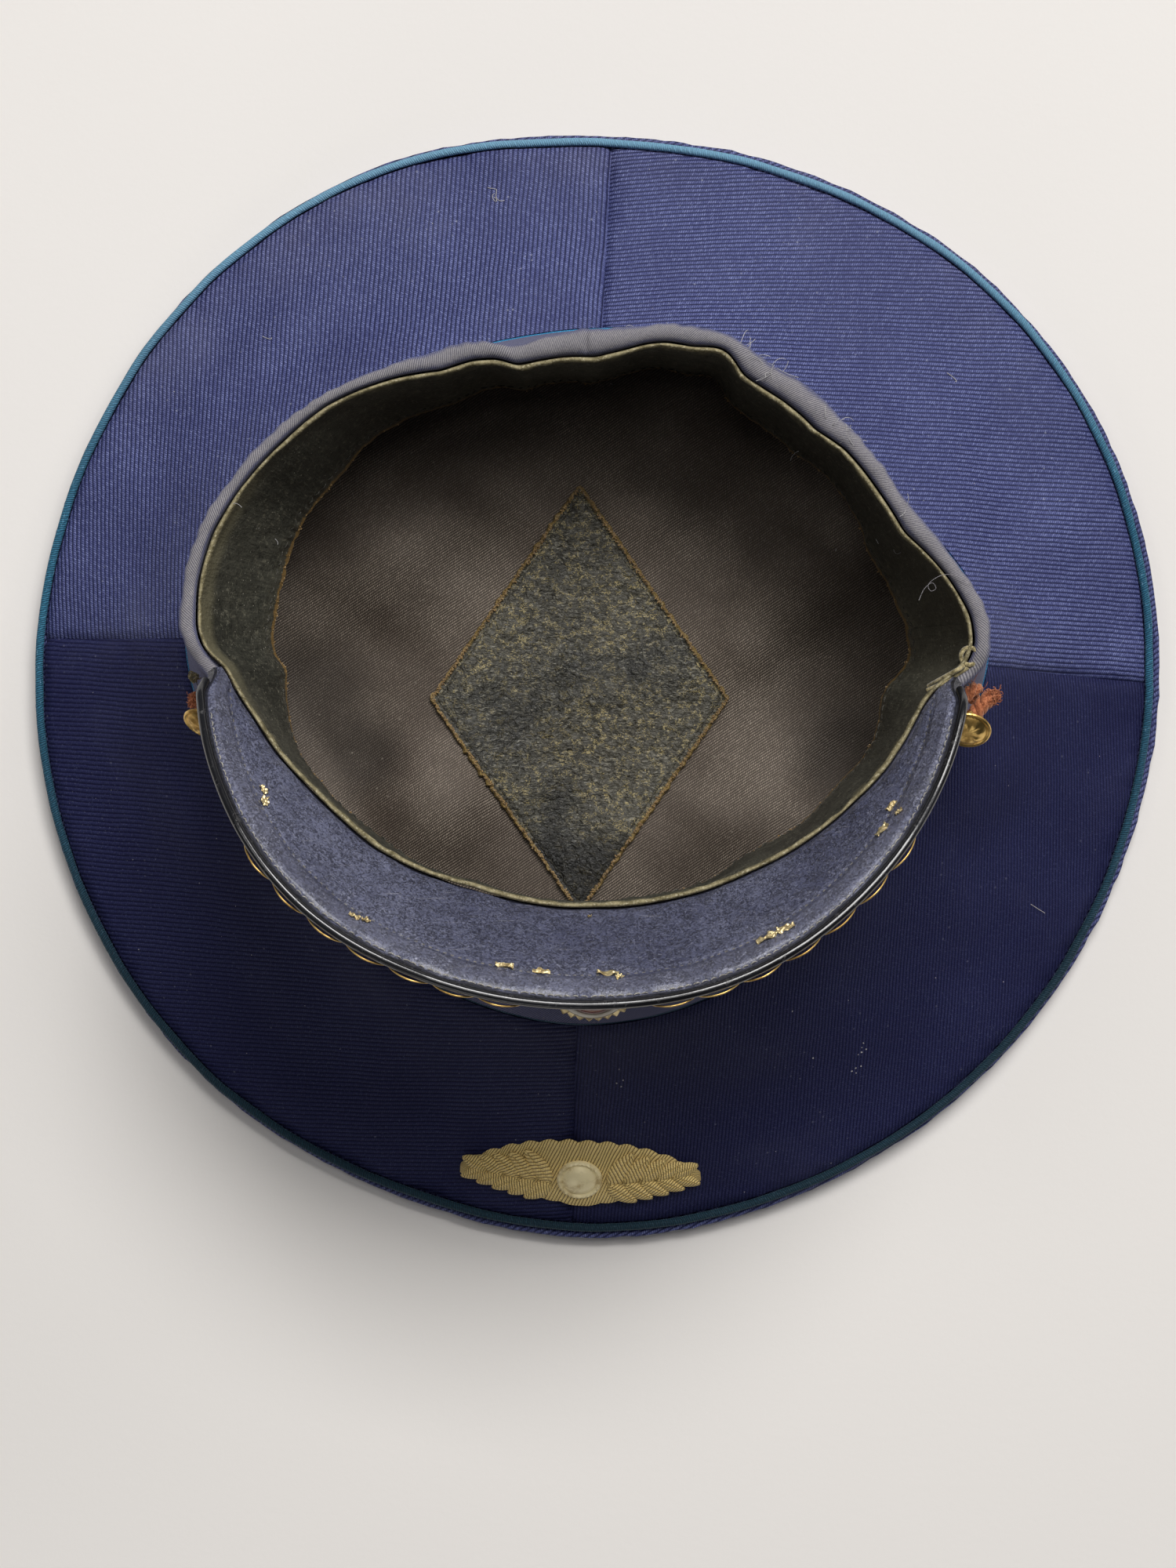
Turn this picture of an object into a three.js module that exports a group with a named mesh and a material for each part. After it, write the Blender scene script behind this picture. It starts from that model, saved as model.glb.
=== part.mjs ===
// A peaked uniform cap that lies upside down on its crown: the opening faces +Z and the visor is
// towards -Y. Millimetres. Angles are in degrees, counted from +X towards +Y.

import * as THREE from 'three';
import { mergeVertices } from 'three/addons/utils/BufferGeometryUtils.js';

// ---- driving dimensions ----------------------------------------------------------------------

const GAP = 0.3; // clearance between pieces that touch
const CLOTH = 1.6; // uniform cloth with its interlining
const STEPS_ROUND = 72; // sections in a piece that goes right round the cap

const RIM_CENTRE = { x: -3, y: 14 }; // the head opening sits towards the back of the crown
const CROWN_CENTRE = { x: 0, y: 0 };
const VISOR_MIDDLE = 270;

// Radii of the cap's rings every 22.5 degrees. rim: outside of the rolled edge. roll: width of that
// roll. lean: how far the sweatband's free edge leans inwards. join: where the band meets the
// quarters. visor: the visor's outer edge, used along the front only. crown: the outermost line of
// the crown, measured from CROWN_CENTRE.
const SECTIONS = [
  { at: 0, rim: 102.8, roll: 4.3, lean: 11, join: 106.5, visor: 94.5, crown: 156.2 },
  { at: 22.5, rim: 86.9, roll: 4.8, lean: 1.1, join: 91, visor: 95, crown: 157.8 },
  { at: 45, rim: 83.4, roll: 6.6, lean: 0.5, join: 87, visor: 95, crown: 157.1 },
  { at: 67.5, rim: 82.1, roll: 5.0, lean: 0, join: 85.5, visor: 95, crown: 154.3 },
  { at: 90, rim: 75.9, roll: 7.0, lean: -1, join: 81, visor: 95, crown: 153.2 },
  { at: 112.5, rim: 78.4, roll: 5.0, lean: 1, join: 82.2, visor: 95, crown: 156.9 },
  { at: 135, rim: 87.2, roll: 3.4, lean: 6.5, join: 92, visor: 95, crown: 157.6 },
  { at: 157.5, rim: 97.7, roll: 3.3, lean: 12.5, join: 102, visor: 95, crown: 156.6 },
  { at: 180, rim: 103.5, roll: 4.0, lean: 14, join: 106.5, visor: 95.5, crown: 156.2 },
  { at: 202.5, rim: 88.2, roll: 3.0, lean: 0.5, join: 102, visor: 97.2, crown: 155.2 },
  { at: 225, rim: 81.5, roll: 3.0, lean: -1, join: 100, visor: 97.0, crown: 154.1 },
  { at: 247.5, rim: 76.0, roll: 3.0, lean: -2, join: 101.6, visor: 93.8, crown: 152.0 },
  { at: 270, rim: 75.2, roll: 3.0, lean: -2, join: 103.5, visor: 92.5, crown: 153.2 },
  { at: 292.5, rim: 76.7, roll: 3.0, lean: -1, join: 101.4, visor: 93.6, crown: 152.0 },
  { at: 315, rim: 81.8, roll: 3.0, lean: 2, join: 98.8, visor: 94.0, crown: 152.2 },
  { at: 337.5, rim: 88.8, roll: 3.0, lean: 2.8, join: 101, visor: 94.7, crown: 153.8 },
];

// Dents pressed into the rolled rim, each fading out over its spread in degrees.
const RIM_DENTS = [
  { at: 103, depth: 2.8, spread: 5 },
  { at: 55, depth: 1.2, spread: 4 },
  { at: 12, depth: 1.0, spread: 5 },
  { at: 192, depth: 2.0, spread: 5 },
];

const RIM_HEIGHT = 84; // rim above the resting face, on the line y = 0
const RIM_TILT = 0.105; // rise of the rim for each millimetre towards the visor
const JOIN_HEIGHT = 38;
const JOIN_TILT = 0.1;
const JOIN_PEAK = { lift: 2.5, spread: 18 }; // the piped join points up over the visor

const CROWN = { thickness: 2.0, lipHeight: 6.1 };
// The crown's section, from the edge of its flat resting face, round its outline and back inside.
const CROWN_SECTION = [
  { inwards: 7.0, height: 0 },
  { inwards: 2.4, height: 1.4 },
  { inwards: 0, height: 4.9 },
  { inwards: 0.9, height: CROWN.lipHeight },
  { inwards: 2.2, height: 5.4 },
  { inwards: 3.6, height: 3.2 },
  { inwards: 8.0, height: CROWN.thickness },
];
// How far the crown's edge stands past its piping: a little all round, more on the right and in front.
const CROWN_LIP = { least: 0.35, right: 1.8, front: 1.8, spread: 33 };
const PIPING_RADIUS = 1.1;
const QUARTER_SAG = 4; // the taut cloth dips between band and crown wire
const QUARTER_GRID = { around: 18, across: 6 };
const SEAM_GAP = 0.12; // degrees left open on each side of a seam

// The four seams between the quarters, at the band and at the crown's edge.
const SEAMS = [
  { name: 'right', joinAt: -5, edgeAt: 0.4 },
  { name: 'back', joinAt: 87, edgeAt: 88.5 },
  { name: 'left', joinAt: 181, edgeAt: 175 },
  { name: 'front', joinAt: 268.5, edgeAt: 267.2 },
];
const QUARTERS = [
  { name: 'back_right', from: 'right', to: 'back' },
  { name: 'back_left', from: 'back', to: 'left' },
  { name: 'front_left', from: 'left', to: 'front' },
  { name: 'front_right', from: 'front', to: 'right' },
];

// Soft folds in the quarters, raised where the cloth is held by the band.
const QUARTER_FOLDS = [
  { at: 104, lift: 2.2, spread: 9, reach: 0.55 },
  { at: 62, lift: -1.6, spread: 10, reach: 0.5 },
  { at: 340, lift: 1.6, spread: 8, reach: 0.5 },
  { at: 205, lift: 1.4, spread: 9, reach: 0.6 },
];

const BAND = {
  wall: 2.2,
  rollDepth: 7, // height of the rolled edge
  footOut: 0.6, // its foot stands this far outside the piped join
  headIn: 1.0, // its wall meets the roll this far inside the rim
  visorSeat: 2.4, // its edge drops by this to take the visor
};
// The roll's section: place in from the rim as a share of the roll's width, and depth under its top.
const BAND_ROLL = [
  { share: 0, depth: 3.5 },
  { share: 0.25, depth: 0.6 },
  { share: 0.6, depth: 0 },
  { share: 1, depth: 1.6 },
  { share: 0.98, depth: 4 },
];
// The sweatband hangs inside the rolled rim: a folded edge above, and a free edge that leans inwards.
const SWEATBAND = {
  depth: 40,
  thickness: 1.2,
  fold: 2.3, // width of its folded edge
  foldDepth: 1.2,
  foldFoot: 5, // depth at which the fold has closed to the sheet
  belowRim: 1,
  bend: 0.45, // share of the lean reached half-way down
};

const LINING = {
  thickness: 1.0,
  base: 3.5, // height of its upper face where it lies on the crown
  baseShares: [0.35, 0.62, 0.84, 0.95], // rings of the base, as shares of its outer radius
  insideJoin: 4, // its outer radius is this far inside the join
  turnUp: 5, // how far the base rises before it meets the wall
  wallHeight: 16, // where the base has turned up into the wall
  tuck: 12, // how far it reaches up behind the sweatband from the join
  clear: 2.2, // from the band's inner face to the tucked edge
  stepsRound: 60,
};
// Soft billows of the lining, by place, height and width.
const BILLOWS = [
  { x: -66, y: 22, lift: 5, spread: 26 },
  { x: 58, y: 34, lift: 4, spread: 26 },
  { x: 62, y: -30, lift: 4, spread: 24 },
  { x: -60, y: -38, lift: 4, spread: 24 },
  { x: 18, y: 72, lift: 3, spread: 20 },
];
const PATCH = {
  x: -5,
  y: -3.4,
  halfWidth: 41.4,
  halfLength: 59.5,
  thickness: 1.0,
  seat: 1.2, // clearance over the billowed lining
  steps: 10,
};

const VISOR = {
  from: 187,
  to: 351.5,
  steps: 36,
  across: 5,
  thickness: 2.2,
  steepness: 1.75, // rise for each millimetre outwards
  belowRim: 0.8, // its seam starts this far under the rim
  leastWidth: 1.4, // where its corners tuck in under the rolled rim
};
const EDGE_BEAD = {
  radius: 1.2,
  clear: 0.6, // from the visor's edge
  inset: 3, // degrees short of each corner
  steps: 56,
  sides: 6,
};

const LEAF_SPRAY = {
  from: 8, // degrees from the middle of the visor to the foot of the spray
  to: 57,
  leaves: 7,
  depth: 15,
  overhang: 1.3, // the leaf tips reach past the visor's edge
  thickness: 1.0,
  ridge: 0.6, // extra thickness along a leaf's middle
  stepsPerLeaf: 6,
  rows: 4,
};
const COCKADE = { at: 271, width: 26, height: 30, up: 14, steps: 40 };
// Its section: an outer ring, a valley and a domed middle, by share of the radius.
const COCKADE_SECTION = [
  { share: 0, height: 0 },
  { share: 0.95, height: 0 },
  { share: 1, height: 0.6 },
  { share: 0.97, height: 1.3 },
  { share: 0.62, height: 2.4 },
  { share: 0.5, height: 2.3 },
  { share: 0.3, height: 3.7 },
  { share: 0, height: 4 },
];
// The badge spans the front seam. Its two long edges are given across the quarter, from 0 at the band
// to 1 at the crown's edge: an arched one towards the band and a nearly straight one.
const BADGE = {
  at: 268.2,
  halfAngle: 13.6,
  tips: 0.85,
  arch: 0.57,
  foot: 0.93,
  seamSpread: 1.25, // angles at the band for each angle at the crown's edge
  tipWidth: 0.04,
  scallops: 6,
  scallopDepth: 0.035,
  thickness: 1.5,
  dome: 1.2, // extra thickness at its middle
  seat: 0.55, // clearance over the bent cloth
  steps: 42,
  rows: 4,
};

const BUTTON = { height: 64, standOff: 6, footGap: 0.6, steps: 24 };
// A button's section from the rim's back to the top of its dome; its shank runs down to the band.
const BUTTON_SHANK = 1.2;
const BUTTON_SECTION = [
  { radius: BUTTON_SHANK, height: -0.2 },
  { radius: 5.6, height: 0 },
  { radius: 6, height: 0.4 },
  { radius: 5.7, height: 0.8 },
  { radius: 4.9, height: 0.8 },
  { radius: 4.5, height: 2.2 },
  { radius: 2.4, height: 3.5 },
  { radius: 0, height: 4 },
];
// The buttons hang a little askew on their shanks: turned towards the visor, and lifted, in degrees.
const BUTTON_PLACES = [
  { name: 'left', at: 192.8, turn: -4, lift: 8 },
  { name: 'right', at: 346.9, turn: 10, lift: 8 },
];
const CORD = {
  radius: 1.8,
  clear: 0.5, // from the band's wall
  belowRim: 12,
  eye: 3.9, // radius of the eye round each button's shank
  eyeTurns: [250, 190, 130, 70, 10],
  free: 9, // degrees from a button to where the cord lies along the band
  steps: 64,
  sides: 8,
};
const PIPING_SIDES = 6;

// ---- shape functions -------------------------------------------------------------------------

const radians = THREE.MathUtils.degToRad;
const { lerp, smoothstep } = THREE.MathUtils;

// The signed turn from b to a, between -180 and 180 degrees.
function turnBetween(a, b) {
  return THREE.MathUtils.euclideanModulo(a - b + 180, 360) - 180;
}

// 1 at no distance, fading out smoothly over the spread.
function bump(distance, spread) {
  return Math.exp(-((distance / spread) ** 2));
}

// A smooth closed curve through one column of SECTIONS.
function ringValue(column, angle) {
  const count = SECTIONS.length;
  const place = (THREE.MathUtils.euclideanModulo(angle, 360) / 360) * count;
  const row = Math.floor(place);
  const t = place - row;
  const value = (offset) => SECTIONS[(row + offset + count) % count][column];
  const [a, b, c, d] = [value(-1), value(0), value(1), value(2)];
  const curve = 2 * a - 5 * b + 4 * c - d + t * (3 * b - a - 3 * c + d);
  return b + 0.5 * t * (c - a + t * curve);
}

function ringPoint(centre, angle, radius, height) {
  return new THREE.Vector3(
    centre.x + radius * Math.cos(radians(angle)),
    centre.y + radius * Math.sin(radians(angle)),
    height,
  );
}

function rimRadius(angle) {
  let radius = ringValue('rim', angle);
  for (const dent of RIM_DENTS) {
    radius -= dent.depth * bump(turnBetween(angle, dent.at), dent.spread);
  }
  return radius;
}

function rimHeight(angle) {
  const y = RIM_CENTRE.y + rimRadius(angle) * Math.sin(radians(angle));
  return RIM_HEIGHT - RIM_TILT * y;
}

function joinHeight(angle) {
  const y = RIM_CENTRE.y + ringValue('join', angle) * Math.sin(radians(angle));
  const peak = JOIN_PEAK.lift * bump(turnBetween(angle, VISOR_MIDDLE), JOIN_PEAK.spread);
  return JOIN_HEIGHT - JOIN_TILT * y + peak;
}

// 1 along the visor, 0 at the back, with a quick change at the visor's corners.
function visorShare(angle) {
  const fromMiddle = Math.abs(turnBetween(angle, (VISOR.from + VISOR.to) / 2));
  const half = (VISOR.to - VISOR.from) / 2;
  return 1 - smoothstep(fromMiddle, half + 0.5, half + 5);
}

// Where the band's plain wall starts above its piping, and where it runs into the rolled rim.
function bandWall(angle) {
  const top = rimHeight(angle) - BAND.visorSeat * visorShare(angle);
  const foot = {
    radius: ringValue('join', angle) + BAND.footOut,
    height: joinHeight(angle) + PIPING_RADIUS + GAP,
  };
  const head = { radius: rimRadius(angle) - BAND.headIn, height: top - BAND.rollDepth };
  return { top, foot, head };
}

// The band's outer face at a height between join and rim.
function bandRadius(angle, height) {
  const { foot, head } = bandWall(angle);
  const share = (height - foot.height) / (head.height - foot.height);
  return lerp(foot.radius, head.radius, share);
}

function crownLip(angle) {
  const right = CROWN_LIP.right * bump(turnBetween(angle, 0), CROWN_LIP.spread);
  const front = CROWN_LIP.front * bump(turnBetween(angle, VISOR_MIDDLE), CROWN_LIP.spread);
  return CROWN_LIP.least + right + front;
}

function crownPipingCentre(angle) {
  const radius = ringValue('crown', angle) - crownLip(angle) - PIPING_RADIUS;
  return ringPoint(CROWN_CENTRE, angle, radius, CROWN.lipHeight + GAP + PIPING_RADIUS);
}

// A point of the quarters' middle surface: across runs from 0 at the band to 1 at the crown's edge.
function quarterPoint(joinAngle, edgeAngle, across) {
  const joinRadius = ringValue('join', joinAngle) + PIPING_RADIUS + GAP;
  const inner = ringPoint(RIM_CENTRE, joinAngle, joinRadius, joinHeight(joinAngle));
  const outer = crownPipingCentre(edgeAngle);
  const reach = Math.hypot(outer.x, outer.y);
  outer.multiplyScalar((reach - PIPING_RADIUS - 2 * GAP) / reach);
  outer.z = CROWN.lipHeight + GAP + PIPING_RADIUS;
  const point = inner.lerp(outer, across);
  point.z -= QUARTER_SAG * Math.sin(Math.PI * across);
  for (const fold of QUARTER_FOLDS) {
    const fade = Math.sin(Math.PI * Math.min(1, across / fold.reach)) ** 2;
    point.z += fold.lift * fade * bump(turnBetween(joinAngle, fold.at), fold.spread);
  }
  return point;
}

// The visor's width in plan, from its seam to its outer edge, which never quite closes.
function visorWidth(angle, inner) {
  const width = ringValue('visor', angle) - inner;
  return 0.5 * (width + Math.hypot(width, 2 * VISOR.leastWidth));
}

// A point of the visor: across runs from 0 at its seam to 1 at its edge, outwards through its thickness.
function visorPoint(angle, across, outwards = 0) {
  const inner = rimRadius(angle) - ringValue('roll', angle);
  const reach = across * visorWidth(angle, inner);
  const slope = Math.atan(VISOR.steepness);
  const seam = rimHeight(angle) - VISOR.belowRim;
  const height = seam + reach * VISOR.steepness - outwards * Math.cos(slope);
  return ringPoint(RIM_CENTRE, angle, inner + reach + outwards * Math.sin(slope), height);
}

function liningHeight(x, y) {
  let height = LINING.base;
  for (const billow of BILLOWS) {
    height += billow.lift * bump(Math.hypot(x - billow.x, y - billow.y), billow.spread);
  }
  return height;
}

// ---- making closed bodies --------------------------------------------------------------------

// A geometry from corner triples, turned so that its faces point outwards.
function closedGeometry(triangles) {
  const volume = triangles.reduce((sum, [a, b, c]) => sum + a.dot(b.clone().cross(c)), 0);
  const positions = [];
  for (const [a, b, c] of triangles) {
    const corners = volume > 0 ? [a, b, c] : [a, c, b];
    for (const corner of corners) positions.push(corner.x, corner.y, corner.z);
  }
  const geometry = new THREE.BufferGeometry();
  geometry.setAttribute('position', new THREE.Float32BufferAttribute(positions, 3));
  const merged = mergeVertices(geometry, 1e-4);
  merged.computeVertexNormals();
  return merged;
}

function quad(a, b, c, d) {
  return [[a, b, c], [a, c, d]];
}

// Joins each section to the next. A ring closes on its first section; a plate gets end faces.
function loft(sections, { ring }) {
  const triangles = [];
  const last = ring ? sections.length : sections.length - 1;
  for (let i = 0; i < last; i++) {
    const here = sections[i];
    const next = sections[(i + 1) % sections.length];
    for (let j = 0; j < here.length; j++) {
      const k = (j + 1) % here.length;
      triangles.push(...quad(here[j], next[j], next[k], here[k]));
    }
  }
  if (!ring) {
    triangles.push(...endFace(sections[0], false), ...endFace(sections.at(-1), true));
  }
  return closedGeometry(triangles);
}

// Closes a section whose first half is one face and whose second half comes back along the other.
function endFace(section, far) {
  const triangles = [];
  const half = section.length / 2;
  const last = section.length - 1;
  for (let j = 0; j < half - 1; j++) {
    const corners = [section[j], section[j + 1], section[last - 1 - j], section[last - j]];
    triangles.push(...quad(...(far ? corners.reverse() : corners)));
  }
  return triangles;
}

// A round body with a pole at the start and at the end of each section.
function poledBody(firstPole, sections, lastPole) {
  const triangles = [];
  sections.forEach((here, i) => {
    const next = sections[(i + 1) % sections.length];
    triangles.push([firstPole, here[0], next[0]]);
    for (let j = 0; j < here.length - 1; j++) {
      triangles.push(...quad(here[j], here[j + 1], next[j + 1], next[j]));
    }
    triangles.push([here.at(-1), lastPole, next.at(-1)]);
  });
  return closedGeometry(triangles);
}

function anglesRound(steps) {
  return Array.from({ length: steps }, (_, i) => (360 * i) / steps);
}

function evenly(steps, from, to) {
  return Array.from({ length: steps + 1 }, (_, i) => lerp(from, to, i / steps));
}

// A tube around a ring of centres, round in the plane that stands on the ring.
function pipingRing(centreOf, radius, sides) {
  return loft(anglesRound(STEPS_ROUND).map((angle) => {
    const centre = centreOf(angle);
    return anglesRound(sides).map((turn) => {
      const out = radius * Math.cos(radians(turn));
      const offset = new THREE.Vector3(Math.cos(radians(angle)) * out, Math.sin(radians(angle)) * out, 0);
      offset.z = radius * Math.sin(radians(turn));
      return centre.clone().add(offset);
    });
  }), { ring: true });
}

// A thin plate over a surface: one face at each of two depths.
function plate(columns, rows, pointAt) {
  return loft(columns.map((column) => [
    ...rows.map((row) => pointAt(column, row, 1)),
    ...rows.toReversed().map((row) => pointAt(column, row, 0)),
  ]), { ring: false });
}

// ---- the pieces ------------------------------------------------------------------------------

function crownTop() {
  const sections = anglesRound(STEPS_ROUND).map((angle) => {
    const edge = ringValue('crown', angle);
    return CROWN_SECTION.map((row) => ringPoint(CROWN_CENTRE, angle, edge - row.inwards, row.height));
  });
  return poledBody(new THREE.Vector3(0, 0, 0), sections, new THREE.Vector3(0, 0, CROWN.thickness));
}

function quarter({ from, to }) {
  const start = SEAMS.find((seam) => seam.name === from);
  const end = SEAMS.find((seam) => seam.name === to);
  const turn = (key) => THREE.MathUtils.euclideanModulo(end[key] - start[key], 360);
  const columns = evenly(QUARTER_GRID.around, 0, 1);
  const rows = evenly(QUARTER_GRID.across, 0, 1);
  return plate(columns, rows, (column, row, face) => {
    const joinAngle = start.joinAt + SEAM_GAP + column * (turn('joinAt') - 2 * SEAM_GAP);
    const edgeAngle = start.edgeAt + SEAM_GAP + column * (turn('edgeAt') - 2 * SEAM_GAP);
    const point = quarterPoint(joinAngle, edgeAngle, row);
    point.z += (face - 0.5) * CLOTH;
    return point;
  });
}

function bandPiping() {
  const centreOf = (angle) => ringPoint(RIM_CENTRE, angle, ringValue('join', angle), joinHeight(angle));
  return pipingRing(centreOf, PIPING_RADIUS, PIPING_SIDES);
}

function capBand() {
  return loft(anglesRound(STEPS_ROUND).map((angle) => {
    const rim = rimRadius(angle);
    const roll = ringValue('roll', angle);
    const { top, foot, head } = bandWall(angle);
    const at = (radius, height) => ringPoint(RIM_CENTRE, angle, radius, height);
    const wall = [0, 0.5, 1].map((share) => ({
      radius: lerp(foot.radius, head.radius, share),
      height: lerp(foot.height, head.height, share),
    }));
    return [
      ...wall.map(({ radius, height }) => at(radius, height)),
      ...BAND_ROLL.map(({ share, depth }) => at(rim - share * roll, top - depth)),
      ...wall.toReversed().map(({ radius, height }) => at(radius - BAND.wall, height)),
    ];
  }), { ring: true });
}

function sweatband() {
  return loft(anglesRound(STEPS_ROUND).map((angle) => {
    const { depth, thickness, fold, foldDepth, foldFoot, belowRim, bend } = SWEATBAND;
    const edge = rimRadius(angle) - ringValue('roll', angle) - GAP;
    const lean = ringValue('lean', angle);
    const sheet = [
      { inwards: lean, down: depth },
      { inwards: lean * bend, down: depth / 2 },
      { inwards: GAP, down: foldFoot },
    ];
    const top = rimHeight(angle) - belowRim;
    const at = (inwards, down) => ringPoint(RIM_CENTRE, angle, edge - inwards, top - down);
    return [
      ...sheet.map(({ inwards, down }) => at(inwards, down)),
      at(0, foldDepth),
      at(fold / 2, 0),
      at(fold, foldDepth),
      ...sheet.toReversed().map(({ inwards, down }) => at(inwards + thickness, down)),
    ];
  }), { ring: true });
}

function lining() {
  const { thickness, baseShares, insideJoin, turnUp, wallHeight, tuck, clear } = LINING;
  const sections = anglesRound(LINING.stepsRound).map((angle) => {
    const outer = ringValue('join', angle) - insideJoin;
    const join = joinHeight(angle);
    const baseAt = (share, below) => {
      const point = ringPoint(RIM_CENTRE, angle, outer * share, 0);
      point.z = liningHeight(point.x, point.y) + smoothstep(share, 0.8, 1) * turnUp - below;
      return point;
    };
    const wallAt = (radius, height) => ringPoint(RIM_CENTRE, angle, radius, height);
    const tuckHeight = join + tuck;
    const tuckRadius = bandRadius(angle, tuckHeight) - BAND.wall - clear;
    return [
      ...baseShares.map((share) => baseAt(share, 0)),
      wallAt(outer, wallHeight),
      wallAt(outer, join),
      wallAt(tuckRadius - thickness, tuckHeight),
      wallAt(tuckRadius, tuckHeight),
      wallAt(outer + thickness, join),
      wallAt(outer + thickness, wallHeight - thickness),
      ...baseShares.toReversed().map((share) => baseAt(share, thickness)),
    ];
  });
  const pole = (below) => {
    const height = liningHeight(RIM_CENTRE.x, RIM_CENTRE.y) - below;
    return new THREE.Vector3(RIM_CENTRE.x, RIM_CENTRE.y, height);
  };
  return poledBody(pole(0), sections, pole(thickness));
}

function liningPatch() {
  const steps = evenly(PATCH.steps, 0, 1);
  return plate(steps, steps, (u, v, face) => {
    const x = PATCH.x + (u - v) * PATCH.halfWidth;
    const y = PATCH.y + (u + v - 1) * PATCH.halfLength;
    return new THREE.Vector3(x, y, liningHeight(x, y) + PATCH.seat + face * PATCH.thickness);
  });
}

function visor() {
  const columns = evenly(VISOR.steps, VISOR.from, VISOR.to);
  const rows = evenly(VISOR.across, 0, 1);
  return plate(columns, rows, (angle, across, face) => visorPoint(angle, across, face * VISOR.thickness));
}

function visorEdge() {
  const { radius, clear, steps, sides, inset } = EDGE_BEAD;
  const middle = VISOR.thickness / 2;
  const route = evenly(VISOR.steps, VISOR.from + inset, VISOR.to - inset).map((angle) => {
    const point = visorPoint(angle, 1, middle);
    const along = visorPoint(angle + 1, 1, middle).sub(visorPoint(angle - 1, 1, middle)).normalize();
    const outwards = point.clone().sub(visorPoint(angle, 0, middle));
    outwards.addScaledVector(along, -outwards.dot(along)).normalize();
    return point.addScaledVector(outwards, radius + clear);
  });
  return tubeAlong(new THREE.CatmullRomCurve3(route), radius, steps, sides);
}

// A round tube with closed ends along a curve.
function tubeAlong(route, radius, steps, sides) {
  const section = new THREE.Shape(anglesRound(sides).map((turn) => new THREE.Vector2(
    radius * Math.cos(radians(turn)),
    radius * Math.sin(radians(turn)),
  )));
  return new THREE.ExtrudeGeometry(section, { steps, extrudePath: route, bevelEnabled: false });
}

// Laurel leaves along the visor's outer face, with their tips past its edge.
function leafSpray(side) {
  const { from, to, leaves, depth, overhang, thickness, ridge, stepsPerLeaf, rows } = LEAF_SPRAY;
  const seat = VISOR.thickness + GAP;
  return plate(evenly(leaves * stepsPerLeaf, 0, 1), evenly(rows, 0, 1), (along, row, face) => {
    const angle = VISOR_MIDDLE + side * lerp(from, to, along);
    const width = visorPoint(angle, 1).distanceTo(visorPoint(angle, 0));
    const scallop = Math.abs(Math.sin(Math.PI * along * leaves));
    const taper = Math.sin(Math.PI * lerp(0.12, 0.93, along)) ** 0.6;
    const tip = 1 + (overhang * lerp(0.35, 1, scallop)) / width;
    const root = 1 - (depth * taper * lerp(0.75, 1, scallop)) / width;
    const leafThickness = thickness + ridge * Math.sin(Math.PI * row) * scallop;
    return visorPoint(angle, lerp(root, tip, row), seat + face * leafThickness);
  });
}

// A point on the band's wall, with the wall's own directions there.
function bandFrame(angle, height) {
  const wallAt = (turn, rise) => {
    const level = height + rise;
    return ringPoint(RIM_CENTRE, angle + turn, bandRadius(angle + turn, level), level);
  };
  const here = wallAt(0, 0);
  const along = wallAt(3, 0).sub(wallAt(-3, 0)).normalize();
  const out = along.clone().cross(wallAt(0, 1).sub(here)).normalize();
  return { here, along, out, up: out.clone().cross(along).normalize() };
}

// Stands a lathed piece on the band's wall, with its axis outwards, turned and lifted by a few degrees.
function standOnBand(mesh, height, standOff, { at, turn = 0, lift = 0 }) {
  const { here, up, along, out } = bandFrame(at, height);
  mesh.quaternion.setFromRotationMatrix(new THREE.Matrix4().makeBasis(along, out, up.negate()));
  mesh.rotateZ(radians(turn));
  mesh.rotateX(radians(-lift));
  const axis = new THREE.Vector3(0, 1, 0).applyQuaternion(mesh.quaternion);
  mesh.position.copy(here.addScaledVector(axis, standOff));
}

function lathe(profile, steps) {
  const points = profile.map(({ radius, height }) => new THREE.Vector2(radius, height));
  return new THREE.LatheGeometry(points, steps);
}

function cockade() {
  const radius = COCKADE.width / 2;
  const profile = COCKADE_SECTION.map(({ share, height }) => ({ radius: share * radius, height }));
  return lathe(profile, COCKADE.steps);
}

// Two leaf sprays and a round boss on one backing, bent over the front quarters.
function crownBadge() {
  const seam = SEAMS.find(({ name }) => name === 'front');
  const { at, halfAngle, tips, arch, foot, seamSpread, tipWidth, scallops, scallopDepth } = BADGE;
  return plate(evenly(BADGE.steps, -1, 1), evenly(BADGE.rows, 0, 1), (u, row, face) => {
    const edgeAngle = at + u * halfAngle;
    const joinAngle = seam.joinAt + u * halfAngle * seamSpread;
    const scallop = scallopDepth * Math.abs(Math.sin(Math.PI * u * scallops));
    const inner = lerp(arch, tips - tipWidth, Math.abs(u) ** 2.2) - scallop;
    const outer = lerp(foot, tips, Math.abs(u) ** 0.8) + scallop / 2;
    const point = quarterPoint(joinAngle, edgeAngle, lerp(inner, outer, row));
    const dome = BADGE.dome * Math.sin(Math.PI * row) * (0.4 + bump(u, 0.2));
    point.z += CLOTH / 2 + BADGE.seat + face * (BADGE.thickness + dome);
    return point;
  });
}

function button() {
  const foot = BUTTON.footGap - BUTTON.standOff;
  return lathe([
    { radius: 0, height: foot },
    { radius: BUTTON_SHANK, height: foot },
    ...BUTTON_SECTION,
  ], BUTTON.steps);
}

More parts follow.
